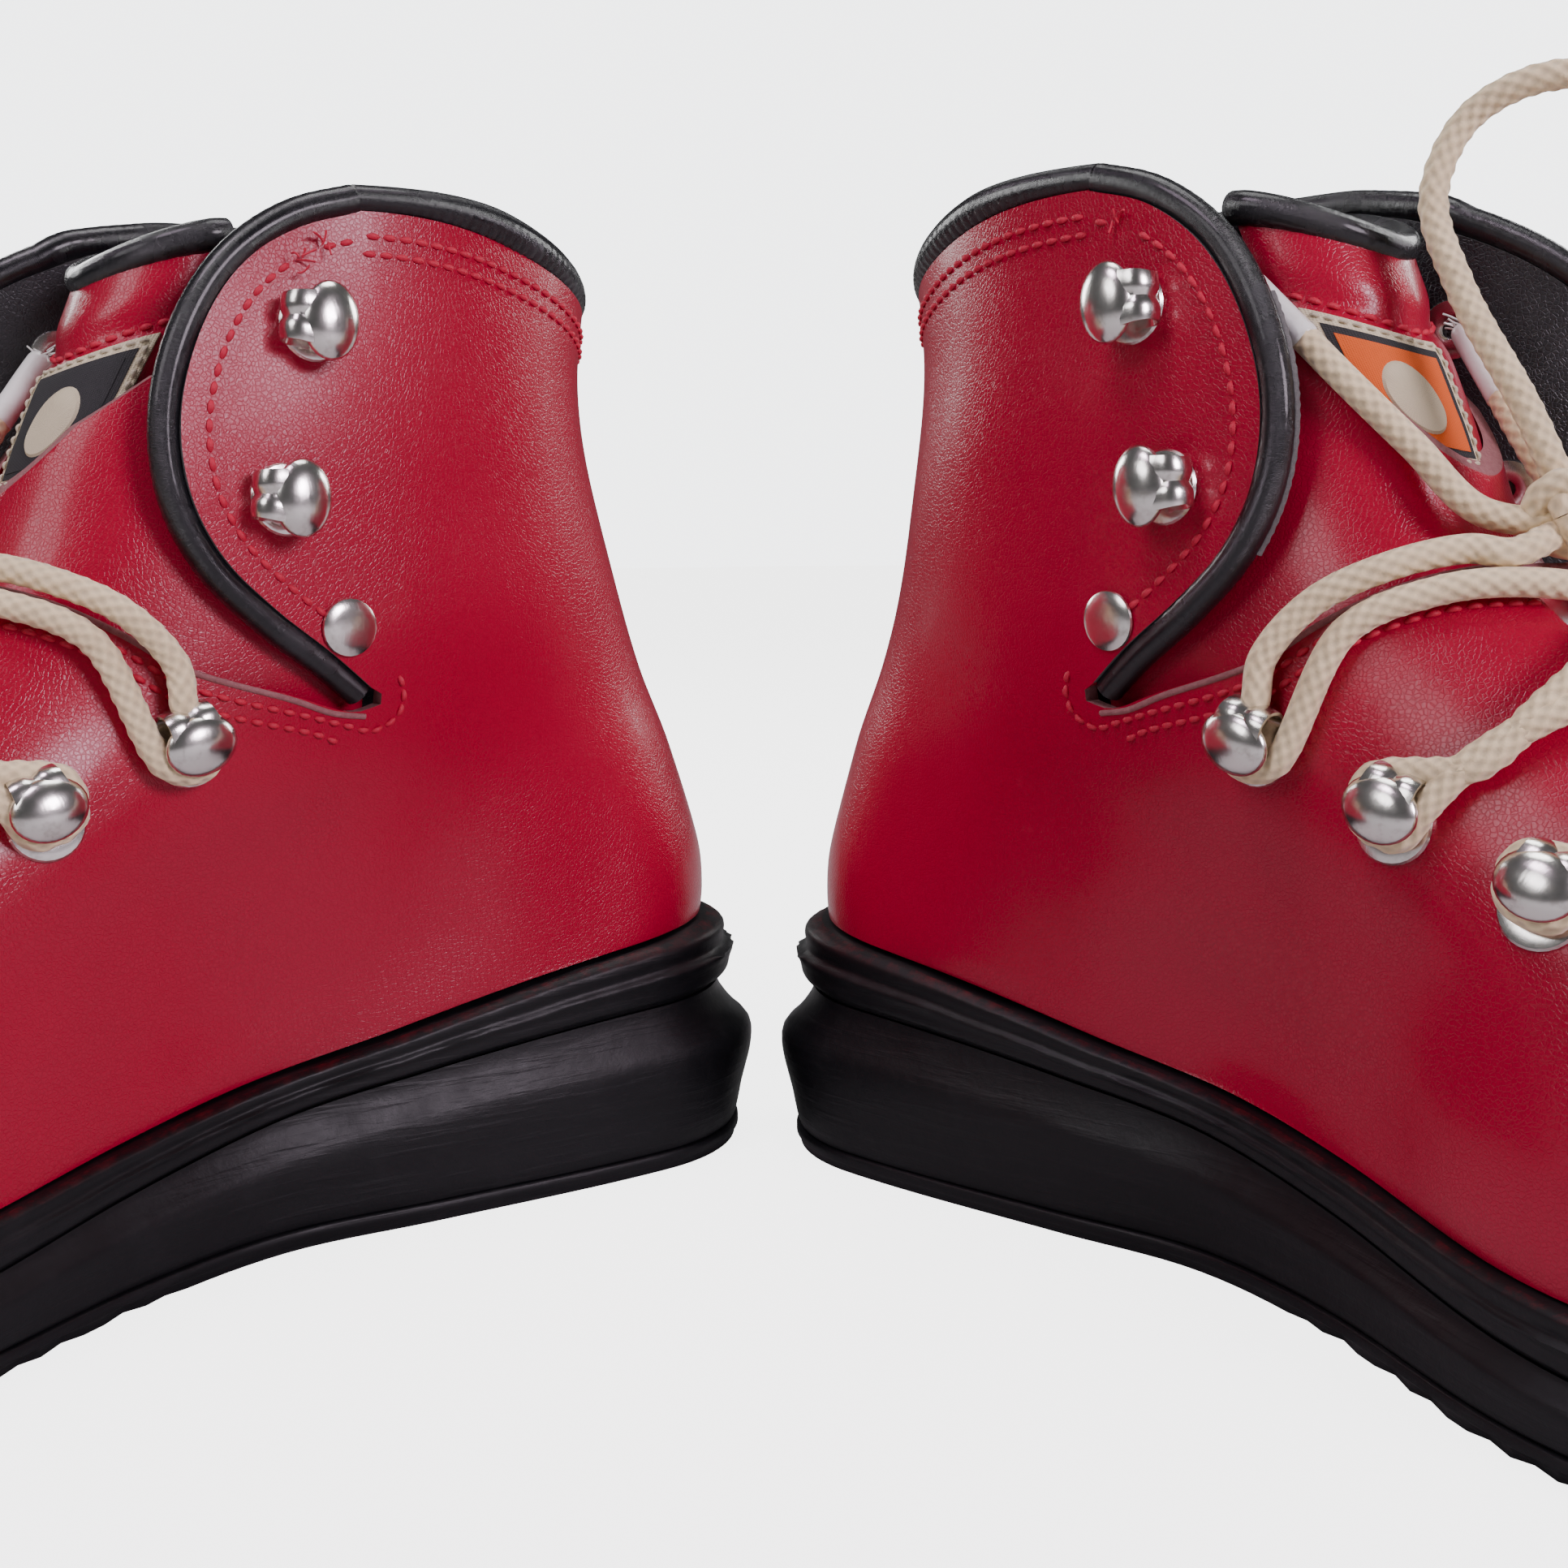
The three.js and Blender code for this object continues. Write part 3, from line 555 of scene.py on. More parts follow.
# %% Black finishes
def black_piping():
    p = Paint("black_piping")
    pucker = p.noise(1, 3, p.stretched(420, 5, 1, p.cloth))
    worn = p.noise(140, 4).clipped(0.55, 0.75)
    tone = p.blend(worn * 0.5, (0.007, 0.007, 0.009), (0.035, 0.034, 0.04))
    normal = p.bump(pucker, 0.0003, 0.5, p.bump(p.noise(1800, 2), 0.00008, 0.4))
    return p.done(Base_Color=tone, Roughness=0.24 + worn * 0.25, Normal=normal,
                  Coat_Weight=0.3, Coat_Roughness=0.15)


def black_lining():
    p = Paint("black_lining")
    creased = p.noise(60, 4)
    grain = p.cracks(1400).clipped(0.0, 0.14)
    tone = p.blend(creased.clipped(0.4, 0.7), (0.006, 0.006, 0.008), (0.022, 0.022, 0.026))
    normal = p.bump(grain + creased * 2, 0.00015, 0.5)
    return p.done(Base_Color=tone, Roughness=0.3 + creased * 0.25, Normal=normal,
                  Coat_Weight=0.15, Coat_Roughness=0.3)


def grey_felt():
    p = Paint("grey_felt")
    fluff = p.noise(1500, 5, roughness=0.8)
    return p.done(Base_Color=p.blend(fluff, (0.05, 0.05, 0.055), (0.3, 0.29, 0.28)), Roughness=0.95,
                  Normal=p.bump(fluff, 0.0006, 0.9))


PIPING, LINING, FELT = black_piping(), black_lining(), grey_felt()

# %% [markdown]
# ## Rubber, metal, lace and thread
# Moulded rubber is dark and satin with grey dust where it was scuffed. Nickel is a mirror whose gloss is broken
# by fine scratches. A braided lace is matt cotton, with painted shade in the hollows of its plait. Thread is waxed
# and a little shiny.


# %% Rubber
def rubber(name, dirt):
    p = Paint(name)
    dust = p.noise(90, 5, roughness=0.7)
    rubbed = p.noise(1, 4, p.stretched(60, 60, 700)).clipped(0.5, 0.8)
    height = p.node("ShaderNodeSeparateXYZ", {}, {0: p.cloth}, out=0)
    tone = p.blend(dust.clipped(0.55, 0.8) * 0.4, (0.002, 0.0024, 0.0036), (0.014, 0.014, 0.016))
    tone = p.blend(rubbed * 0.12, tone, (0.03, 0.03, 0.032))
    if dirt:
        smear = height.clipped(0.86, 1.0) * p.noise(260, 5, roughness=0.8).clipped(0.45, 0.65)
        tone = p.blend(smear * 0.8, tone, (0.1, 0.004, 0.009))
    normal = p.bump(rubbed, 0.0002, 0.4, p.bump(dust, 0.0006, 0.35))
    return p.done(Base_Color=tone, Roughness=0.34 + dust * 0.3, Normal=normal, Specular_IOR_Level=0.38)


RUBBER, WELT_RUBBER = rubber("sole_rubber", False), rubber("welt_rubber", True)


# %% Metal
def nickel():
    p = Paint("nickel")
    tarnish = p.noise(420, 5, roughness=0.7)
    scratch = p.noise(1, 2, p.stretched(300, 3200, 300))
    tone = p.blend(tarnish.clipped(0.5, 0.75) * 0.7, (0.78, 0.76, 0.72), (0.38, 0.35, 0.3))
    return p.done(Base_Color=tone, Metallic=1.0, Roughness=0.12 + tarnish * 0.2,
                  Normal=p.bump(scratch, 0.00004, 0.3))


NICKEL = nickel()


# %% Lace and its plastic tip
LACE_MAP = 14  # millimetres of lace to one unit of its map
PLAIT = 2.7  # millimetres from one crossing of the fine plait to the next


def cotton():
    p = Paint("braided_cotton")
    dirt = p.noise(150, 4).clipped(0.42, 0.75)
    axes = [p.node("ShaderNodeSeparateXYZ", {}, {0: p.cloth}, out=k) for k in (0, 1)]
    along, around = axes[0] * (2 * math.pi * LACE_MAP / PLAIT), axes[1] * (2 * math.pi * 6)
    plait = 0.5 + 0.25 * ((along + around).math("COSINE") + (along - around).math("COSINE"))
    tone = p.blend(dirt * 0.5, (0.9, 0.73, 0.45), (0.62, 0.48, 0.28))
    # painted shade: the plait's hollows are darkened towards a shaded brown
    tone = p.blend((1 - plait).clipped(0.35, 1.0) * 0.45, tone, (0.36, 0.29, 0.19))
    normal = p.bump(p.noise(3200, 3), 0.00012, 0.5, p.bump(plait, 0.00045, 0.8))
    return p.done(Base_Color=tone, Roughness=0.92, Normal=normal, Sheen_Weight=0.3, Sheen_Roughness=0.6)


def white_plastic():
    p = Paint("white_plastic")
    stain = p.noise(300, 4).clipped(0.5, 0.8)
    return p.done(Base_Color=p.blend(stain * 0.5, (0.86, 0.86, 0.83), (0.6, 0.55, 0.45)), Roughness=0.3,
                  Normal=p.bump(p.noise(700, 2), 0.0002, 0.4), Coat_Weight=0.3)


LACE, AGLET = cotton(), white_plastic()


# %% Thread and the insole
def thread(name, colour, dark):
    p = Paint(name)
    twist = p.noise(1, 2, p.stretched(14, 3, 1, p.cloth))
    fuzz = p.noise(2500, 3)
    return p.done(Base_Color=p.blend(twist * 0.6 + fuzz * 0.3, dark, colour), Roughness=0.6,
                  Normal=p.bump(twist + fuzz * 0.4, 0.0001, 0.6))


def worn_board():
    p = Paint("insole_leather")
    stain = p.noise(40, 5)
    tone = p.blend(stain.clipped(0.35, 0.7), (0.09, 0.06, 0.04), (0.28, 0.2, 0.13))
    return p.done(Base_Color=tone, Roughness=0.85, Normal=p.bump(p.noise(900, 4), 0.0003, 0.6))


THREAD = thread("red_thread", (0.7, 0.009, 0.055), (0.36, 0.004, 0.025))
CREAM_THREAD = thread("cream_thread", (0.75, 0.68, 0.52), (0.4, 0.34, 0.24))
INSOLE = worn_board()


# %% The woven label's field
def woven(name, colour, dark):
    p = Paint(name)
    warp = p.node("ShaderNodeTexWave", {"bands_direction": "X"}, {"Vector": p.cloth, "Scale": 22.0})
    weft = p.node("ShaderNodeTexWave", {"bands_direction": "Y"}, {"Vector": p.cloth, "Scale": 30.0})
    return p.done(Base_Color=p.blend(warp * weft * 0.6, colour, dark), Roughness=0.8,
                  Normal=p.bump(warp + weft, 0.0001, 0.5))


LABEL_CREAM = woven("label_cream", (0.72, 0.64, 0.45), (0.45, 0.38, 0.25))
LABEL_ORANGE = woven("label_orange", (0.8, 0.13, 0.015), (0.5, 0.07, 0.01))
LABEL_BLACK = woven("label_black", (0.02, 0.02, 0.022), (0.05, 0.05, 0.05))
print("materials:", len(bpy.data.materials))

# %% [markdown]
# ## The sole
# The sole is three layers of rubber. A thin tread lies under a wedge that is high at the heel and low at the toe,
# and a rounded welt stands on the wedge, where the leather goes in. All three are stacks of closed rows round the
# foot's outline, drawn in or pushed out a little from row to row, so each layer gets its own lips and grooves.
# A leather insole board lies inside.


# %% Rows round the sole
def sole_row(inset, rear, height, around=220):
    angle = turns(around)
    s, inner = (1 - np.cos(angle)) / 2, np.sin(angle) >= 0
    inset = np.broadcast_to(inset(s * SOLE) if callable(inset) else inset, s.shape)
    push = rear * np.exp(-((s * SOLE / 34) ** 2))
    x = mix(inset - push, SOLE - inset, s)
    wide = np.where(inner, foot_width(s, "inner", inset), foot_width(s, "outer", inset))
    y = (wide + push * 0.5 * np.clip(np.abs(np.sin(angle)) * 5, 0, 1)) * np.where(inner, 1, -1)
    y[np.abs(np.sin(angle)) < 1e-9] = 0
    return np.stack([x, y, height(s * SOLE)], -1)


TREAD, GAP = 3.7, 0.3


def tread_rows():
    notch = lambda deep: lambda x: 0.5 + deep * ((x / 6.5) % 1 < 0.42) * np.clip((x - 120) / 20, 0, 1)
    flat = lambda z: lambda x: np.full_like(x, z)
    steps = [(0, 1.2, 0.7), (0.5, 0.9, 0.7), (1.6, 0.9, 0.3), (2.0, 0, 0), (3.4, 0, 0), (TREAD, 0, 0.3)]
    return [sole_row(lambda x, d=deep, i=inset: notch(d)(x) + i, 0, flat(z)) for z, deep, inset in steps]


def wedge_rows():
    inset = through([[0, 1.2], [0.06, 0.7], [0.3, 0.3], [0.5, -0.1], [0.66, 0.1], [0.8, 1.4], [1, 2.6]])
    rear = through([[0, 0], [0.2, 0.6], [0.35, 1.4], [0.55, 2.3], [0.68, 2.2], [0.8, 0.2], [1, -1.5]])
    height = lambda t: lambda x: mix(TREAD + GAP, wedge_height(x), t)
    return [sole_row(inset(t), rear(t), height(t)) for t in np.linspace(0, 1, 22)]


def welt_rows():
    inset = through([[0, 2.8], [0.12, 1.5], [0.35, 1.2], [0.52, 0.7], [0.6, 1.5], [0.8, 1.3], [0.93, 1.6], [1, 3]])
    rear = through([[0, -1.8], [0.2, -0.6], [0.5, -0.2], [0.62, -1.2], [0.85, -1.4], [1, -3]])
    rows = []
    for t in np.linspace(0, 1, 26):
        fray = 0.45 * math.exp(-(((t - 0.53) / 0.05) ** 2)) + 0.3 * math.exp(-(((t - 0.97) / 0.05) ** 2))
        waves = lambda x: (np.sin(x * 2.1) + np.sin(x * 3.7 + 1) + np.sin(x * 0.9)) / 2
        ragged = lambda x, t=t, f=fray: inset(t) - f * waves(x)
        height = lambda x, t=t: mix(wedge_height(x) + GAP, feather_height(x), t)
        rows.append(sole_row(ragged, rear(t), height))
    return rows


# %% Build the soles
def replace(obj, foot, body, slot_name, *nodes):
    """The piece rides on one of its foot's bodies and takes the place of these solid nodes."""
    if body:
        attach(obj, f"{foot}_{body}")
    if nodes:
        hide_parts(*[f"{foot}_{node}" for node in nodes])
    return obj


def build_sole(foot):
    layers = [("outsole", tread_rows, RUBBER), ("wedge_midsole", wedge_rows, RUBBER),
              ("welt", welt_rows, WELT_RUBBER)]
    for name, make_rows, finish in layers:
        obj = solid(f"{foot}_{name}_rubber", foot, np.array(make_rows()), finish, smooth=50)
        replace(obj, foot, "foot", "rubber", name)
    inside = 13.1
    rows = [sole_row(inside, -2, lambda x, h=h: feather_height(x) + h, 120) for h in (GAP, 1.5, 3)]
    rows.append(sole_row(inside + 1, -2, lambda x: feather_height(x) + 3.3, 120))
    obj = solid(f"{foot}_insole_leather", foot, np.array(rows), INSOLE, smooth=50)
    replace(obj, foot, "foot", "insole_board", "insole")


for foot in FEET:
    build_sole(foot)
print("soles built")

# %% [markdown]
# ## The leather of the foot and shaft
# The real upper is one sheet pulled over a last, so here it is one shell with an outer and an inner face. The
# openings are cut out of it, as a shoemaker cuts the sheet: in front of the flaps' bend, and a slot under the
# laces. A Boolean modifier does the cutting, and the result is kept as a plain mesh. The lining is cut in the same
# way, a little wider, and the gusset is what is kept of a third shell inside an outline.

# %% Cutting
LEATHER, LINING_THICK = 3.0, 1.5
VAMP_EDGE = [[124, 105], [133, 111], [142, 116], [150, 118.8], [158, 119.5], [200, 122]]
THROAT_HALF, THROAT_END = 13, 222


def shell(outer, inner, low, foot, rim=0.0, rows=84, around=264):
    u = np.linspace(low, RIM, rows)[:, None]
    angle = turns(around)[None]
    grids = []
    for depth, order in ((outer, u), (inner, u[::-1])):
        place = skin(order, angle)
        normal = skin_normal(order, angle)
        depths = depth - dents(place, foot) * np.clip(order * 2, 0, 1)
        grid = place - normal * depths[..., None]
        grid[..., 2] += rim * np.clip(order - RIM + 0.3, 0, 0.3) / 0.3
        grids.append(grid)
    return Heap().net(np.concatenate(grids), wrap=True, close=True)


def prism(outline, low, high, upright=False):
    """A cutting block: an outline in x and z carried across the boot, or in x and y carried upwards."""
    flat = np.asarray(outline, float)
    ends = [np.insert(flat, 2 if upright else 1, at, axis=1) for at in (low, high)]
    return Heap().net(np.array(ends), wrap=True, caps=True)


def carve(obj, foot, blocks, operation="DIFFERENCE"):
    for block in blocks:
        tool = block.make("block", foot, [RAW])
        work = obj.modifiers.new("cut", "BOOLEAN")
        work.operation, work.solver = operation, "MANIFOLD"
        work.object, work.material_mode = tool, "TRANSFER"
        made = bpy.data.meshes.new_from_object(obj.evaluated_get(bpy.context.evaluated_depsgraph_get()))
        obj.modifiers.clear()
        old, obj.data = obj.data, made
        bpy.data.meshes.remove(old)
        bpy.data.objects.remove(tool)
    return obj


def front_blocks(slack):
    blocks = []
    for side in SIDES:
        h = HINGE[side] - slack
        edge = [[x, z - slack] for x, z in VAMP_EDGE if x > h + 22]
        low = line_through([[h, 0, 96.5 - slack], [h + 5, 0, 95.5 - slack], [h + 16, 0, 99 - slack],
                            *[[x, 0, z] for x, z in edge]], 2)
        outline = [*low[:, [0, 2]].tolist(), [200, 210], [h, 210]]
        blocks.append(prism(outline, 0, 70 * OUT[side]))
    half = THROAT_HALF + slack
    bow = [[THROAT_END - half + half * math.sin(a), -half * math.cos(a)] for a in np.linspace(0, math.pi, 25)]
    blocks.append(prism([[120, half], [120, -half], *bow], 50, 220, upright=True))
    return blocks


# %% Build the upper
def build_upper(foot):
    upper = shell(0, LEATHER, 0, foot).make(f"{foot}_upper_leather", foot, [RED])
    carve(upper, foot, front_blocks(0))
    soften(upper, 40)
    replace(upper, foot, "foot", "red_leather", "upper")
    depth = LEATHER + 0.1
    lining = shell(depth, depth + LINING_THICK, 0.15, foot, rim=1.5, rows=50, around=160)
    lining = lining.make(f"{foot}_lining_leather", foot, [LINING])
    carve(lining, foot, front_blocks(1.2))
    soften(lining, 40)
    replace(lining, foot, "foot", "black_lining", "lining")
    outline = [[91, 95], [91, 158], [122, 151], [133, 143], [142.5, 132.5], [148, 124.5], [151, 118],
               [176, 103], [206, 84], [208, 100], [232, 96], [232, 50], [198, 56], [150, 84]]
    under_it = LEATHER + LINING_THICK + 2 * GAP
    gusset = shell(under_it, under_it + 2, 2.5, foot, rows=60, around=200)
    gusset = gusset.make(f"{foot}_gusset_leather", foot, [RED])
    carve(gusset, foot, [prism(outline, -70, 70)], "INTERSECT")
    soften(gusset, 40)
    replace(gusset, foot, "foot", "red_leather", "gusset")
    return len(upper.data.polygons)


for foot in FEET:
    print(foot, "upper:", build_upper(foot), "faces")

# %% [markdown]
# ## The cuff's flaps
# In front of the ankle the leather is slit, and the part above the slit folds open as a flap on each side. The
# flap must bend with the leg's leather, so it starts exactly where the shell was cut, on the same surface and with
# the same soft dents. Its inner face is black lining,
# and its cut edge is felt.

# %% Flap outline
FLAP_EDGE = [[90, 178.0], [101, 174.6], [111, 167.4], [118, 157], [122, 144], [121.5, 132], [117, 122],
             [109, 113.5], [99, 105.5], [92, 99.6]]
FLAP_THICK = 4.4


def flap_outline(side, step=1.2):
    wide = [[HINGE[side] + (x - HINGE["inner"]) * STRETCH[side], 0, z] for x, z in FLAP_EDGE]
    return line_through(wide, step)[:, [0, 2]]


def inward(edge, by):
    """The outline drawn in by some millimetres, towards the bend."""
    along = unit(np.gradient(edge, axis=0))
    return edge + np.stack([along[:, 1], -along[:, 0]], -1) * by


def bend_with(obj, foot, side, slot_name, *nodes):
    """Leather that crosses the flap's bend: its place is baked into its mesh and it takes the place of these solid
    nodes. The bend's start and end are worked out but not used.
    """
    start, end = to_row([[HINGE[side] + x, 32 * OUT[side], 140] for x in (-1, 12)], foot)
    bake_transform(obj)
    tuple(start)
    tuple(end)
    return replace(obj, foot, None, slot_name, *nodes)


# %% Build a flap
def flap_grid(side, foot, columns=44):
    edge = flap_outline(side)
    k = np.linspace(0, 1, len(edge))[:, None]
    t = np.linspace(0, 1, columns)[None] ** 0.9
    x = mix(float(HINGE[side]), edge[:, :1], t)
    z = mix(mix(178.2, 98.4, k), edge[:, 1:], t)
    at, normal = on_flap(x, z, side)
    dent = dents(at, foot)[..., None]
    return at + normal * dent, at - normal * FLAP_THICK


def build_flap(foot, side):
    outer, inner = flap_grid(side, foot)
    heap = Heap().net(np.concatenate([outer, inner[:, ::-1]], axis=1), wrap=True, caps=True)
    columns = outer.shape[1]
    for face in range((len(outer) - 1) * 2 * columns):
        column = face % (2 * columns)
        heap.slots[face] = 0 if column < columns - 1 else 2 if column == columns - 1 else 1
    obj = heap.make(f"{foot}_{side}_flap_leather", foot, [RED, LINING, FELT], 50)
    bend_with(obj, foot, side, "red_leather", f"{side}_flap")


# %% [markdown]
# ## Rolled piping
# A strip of thin black leather is rolled round a cord and sewn on as the edge of each flap, and a thicker roll
# runs round the back as a collar. Round a tight curve such a strip puckers, so the swept circle gets small ridges.
# At one flap the grey felt between leather and lining peeps out in front of the roll.


# %% Piping and collar
def rolled(line, up, radius, pucker, pitch, sides=20):
    """A roll along a line, with small ridges across it that fade on its smooth crown."""
    run = run_of(line)[:, None]
    around = turns(sides)[None]
    ridges = np.sin(run * 2 * np.pi / pitch + 1.3 * np.sin(run * 0.37)) * (0.55 - 0.45 * np.sin(around))
    slow = np.sin(run * 0.21) + np.sin(run * 0.083 + 2)
    r = radius * (1 + pucker * ridges + 0.012 * slow)
    return swept(line, polar(r, around), up)


def piping_line(side):
    edge = inward(flap_outline(side, 0.7), -1.9)
    at, normal = on_flap(edge[:, 0], edge[:, 1], side)
    return at - normal * (FLAP_THICK / 2 + 0.1), normal


def build_piping(foot, side):
    line, normal = piping_line(side)
    roll = solid(f"{foot}_{side}_flap_roll", foot, rolled(line, normal, 2.6, 0.018, 2.3), PIPING, size=(4, 1))
    bend_with(roll, foot, side, "black_leather", f"{side}_flap_piping")


def build_felt(foot, side):
    """The flap's felt filling peeps out in front of the roll along the middle of the flap."""
    edge = inward(flap_outline(side, 0.7), -3.9)
    edge = edge[(edge[:, 1] > 121) & (edge[:, 1] < 160)]
    at, normal = on_flap(edge[:, 0], edge[:, 1], side)
    line = at - normal * (FLAP_THICK / 2 + 1.3)
    strip = rolled(line, normal, 0.9, 0.12, 1.9, sides=10)
    bend_with(solid(f"{foot}_{side}_flap_felt", foot, strip, FELT, size=(4, 1)), foot, side, "black_leather")


def build_collar(foot):
    start, end = (float(find_on_skin(HINGE[s] + 1.0, 177.6, s)[1]) for s in SIDES)
    angle = np.linspace(start, end - 2 * np.pi, 420)
    line = under(np.full(angle.shape, float(RIM)), angle, np.full(angle.shape, 2.2))
    share = np.linspace(0, 1, len(angle))
    ease = np.clip(np.minimum(share, 1 - share) / 0.16, 0, 1)
    ease = eased(ease)
    line[:, 2] += mix(1.7, 2.9, ease)
    for side, near in (("inner", 1 - share), ("outer", share)):
        meet = np.clip((near - 0.88) / 0.12, 0, 1)[:, None]
        end_point = line[0 if side == "inner" else -1].copy()
        line += (piping_line(side)[0][0] - end_point) * eased(meet)
    run = run_of(line)
    radius = mix(2.6, 3.3, ease)[:, None]
    around = turns(22)[None]
    low = np.clip(0.35 - np.sin(around), 0, 1)
    ribs = np.abs(np.sin(run[:, None] * np.pi / 1.9)) * 0.1 * low * ease[:, None]
    r = radius * (1 + ribs - 0.05 * low)
    grid = swept(line, polar(r, around), np.tile(UP, (len(line), 1)))
    obj = solid(f"{foot}_collar_roll", foot, grid, PIPING, size=(8, 1))
    replace(obj, foot, "foot", "black_leather")


for foot in FEET:
    for side in SIDES:
        build_flap(foot, side)
        build_piping(foot, side)
    build_collar(foot)
build_felt("left", "inner")
print("flaps, piping and collars built")

# %% [markdown]
# ## Stitching
# Thread shows as a row of short raised dashes. One dash is a small bent spindle whose ends dip into the leather,
# and it is repeated along each seam, turned to the seam's direction and to the leather's own slope. The inner
# flap's seam is broken near the top, with loose ends of thread there. A thin pale line is the vamp's raw edge
# along the slit.


# %% One row of stitches
def stitches(heap, line, normals, pitch=3.0, long=2.5, thick=0.52, keep=None):
    steps = run_of(line)
    middle = np.arange(pitch / 2, steps[-1] - pitch / 2, pitch)
    if keep is not None:
        middle = middle[keep(middle)]
    at = np.stack([np.interp(middle, steps, line[:, k]) for k in range(3)], -1)
    up = unit(np.stack([np.interp(middle, steps, normals[:, k]) for k in range(3)], -1))
    way = unit(np.stack([np.interp(middle + 0.5, steps, line[:, k]) for k in range(3)], -1) - at)
    side = np.cross(way, up)
    t = np.linspace(-1, 1, 7)
    body = ring(thick, 7, 0.8)
    spindle = [[[x * long / 2, y * math.sqrt(1.02 - x * x), h * math.sqrt(1.02 - x * x) + 0.3 - 0.5 * x * x]
                for y, h in body] for x in t]
    spindle = np.array(spindle)
    faces, uvs = net(7, 7, wrap=True)
    faces += [list(range(7)), list(range(42, 49))]
    uvs += [[(0, 0)] * 7] * 2
    for a, w, s, n in zip(at, way, side, up):
        heap.add(a + spindle[..., :1] * w + spindle[..., 1:2] * s + spindle[..., 2:] * n, faces, list(uvs))
    return len(at)


def dented(at, normal, foot):
    """A place on the smooth surface, moved out or in to where the softly dented leather is."""
    return at + normal * dents(at, foot)[..., None], normal


def seam_on_upper(places, side, foot, step=0.8):
    line = line_through([[x, 0, z] for x, z in places], step)
    return dented(*on_upper(line[:, 0], line[:, 2], side), foot)


def frayed(heap, at, normal, count, seed):
    """Broken ends of thread that curl away from the seam."""
    rng = np.random.default_rng(seed)
    for _ in range(count):
        start = at + rng.normal(size=3) * 0.9
        way, turn_to = unit(rng.normal(size=3)), unit(rng.normal(size=3))
        way, turn_to = (unit(v - normal * np.dot(v, normal) + normal * 0.3) for v in (way, turn_to))
        t = np.linspace(0, 1, 9)[:, None]
        curl = start + normal * 0.4 + way * t * rng.uniform(1, 2.6) + turn_to * t * t * rng.uniform(0.5, 2)
        heap.net(swept(curl, ring(0.17, 5)), wrap=True, caps=True)


# %% Sew the seams
def sew(foot):
    made, body = 0, Heap()
    for side in SIDES:
        h = HINGE[side]
        for drop in (3.2, 6.2):
            vamp = [[x, z - drop] for x, z in VAMP_EDGE[:-1] if x > h + 12]
            seam = [[h + 1.5 + drop, 95.5 - drop * 0.8], [h + 12, 98 - drop * 0.9], *vamp]
            made += stitches(body, *seam_on_upper(seam, side, foot), pitch=2.9)
        tip = [[h + 4.5, 92.6], [h + 0.5, 92.3], [h - 3.4, 94.6], [h - 4.2, 98.4], [h - 2.6, 102.4]]
        made += stitches(body, *seam_on_upper(tip, side, foot), pitch=2.7)
        flap = Heap()
        edge = inward(flap_outline(side, 0.8), 4.4)
        inside = edge[:, 0] > h + 0.6
        at, normal = dented(*on_flap(edge[inside, 0], edge[inside, 1], side), foot)
        broken = (lambda m: (m < 7) | (m > 12)) if foot == "right" else (lambda m: (m < 3) | (m > 8.5))
        made += stitches(flap, at, normal, keep=broken if side == "inner" else None)
        if side == "inner":
            ends = {"right": [[h + 7, 171.5], [h + 11, 169.4]], "left": [[h + 6, 171.8]]}[foot]
            for seed, (x, z) in enumerate(ends):
                frayed(flap, *(v[0] for v in on_flap([x], [z], side)), 5, seed)
        bend_with(flap.make(f"{foot}_{side}_flap_stitching", foot, [THREAD], 60), foot, side, "red_leather")
    start, end = (float(find_on_skin(HINGE[s] - 0.5, 174, s)[1]) for s in SIDES)
    angle = np.linspace(start, end - 2 * np.pi, 300)
    u = np.linspace(RIM, RIM - 1, 60)
    down = [run_of(skin(u, np.full(60, a))) for a in angle]
    for drop in (4.2, 7.2):
        rows = np.array([np.interp(drop, deep, u) for deep in down])
        made += stitches(body, *dented(skin(rows, angle), skin_normal(rows, angle), foot), pitch=2.9)
    replace(body.make(f"{foot}_stitching", foot, [THREAD], 60), foot, "foot", "red_leather")
    rims = Heap()
    for side in SIDES:
        h = HINGE[side]
        vamp = [[x, z] for x, z in VAMP_EDGE[:-1] if x > h + 22]
        rim = [[h + 3, 95.2], [h + 9, 96.2], [h + 16, 98.8], *vamp]
        at, normal = seam_on_upper([[x, z - 0.5] for x, z in rim], side, foot)
        rims.net(swept(at - normal * 0.1, ring(0.55, 8), normal), wrap=True, caps=True, size=(6, 1))
    replace(rims.make(f"{foot}_vamp_raw_edge", foot, [RAW], 60), foot, "foot", "red_leather")
    return made


for foot in FEET:
    print(foot, "stitches:", sew(foot))

# %% [markdown]
# ## Lace hooks and rivets
# A speed hook is stamped from one strip of plated steel: a round foot riveted to the leather, a neck that rises
# at the side towards the lacing, and an oval dome that folds back over the foot. The lace slips in under the dome.
# Each part is shaped on its own in the hook's frame: first towards the neck, then across it, then up from the
# leather. Behind each cuff hook a washer spreads the load on the lining.

# %% Hook shapes
LOWER_HOOKS = [[124.5, 93], [147.5, 84], [169.5, 75], [191, 66]]
CUFF_HOOKS = {"inner": [[99.5, 159], [106.3, 131]], "outer": [[121, 158], [128, 131]]}
RIVET = {"inner": [96.4, 110], "outer": [113.5, 111]}
METAL_EDGE = 45  # degrees from which a bend of the metal is a sharp edge


def lathe(profile, sides=28, wide=1.0, long=1.0, shift=0.0):
    """Rings of a turned shape, made oval and shifted towards the neck."""
    a = turns(sides)
    return np.array([np.stack([r * long * np.cos(a) + shift, r * wide * np.sin(a), np.full(sides, h)], -1)
                     for r, h in profile])


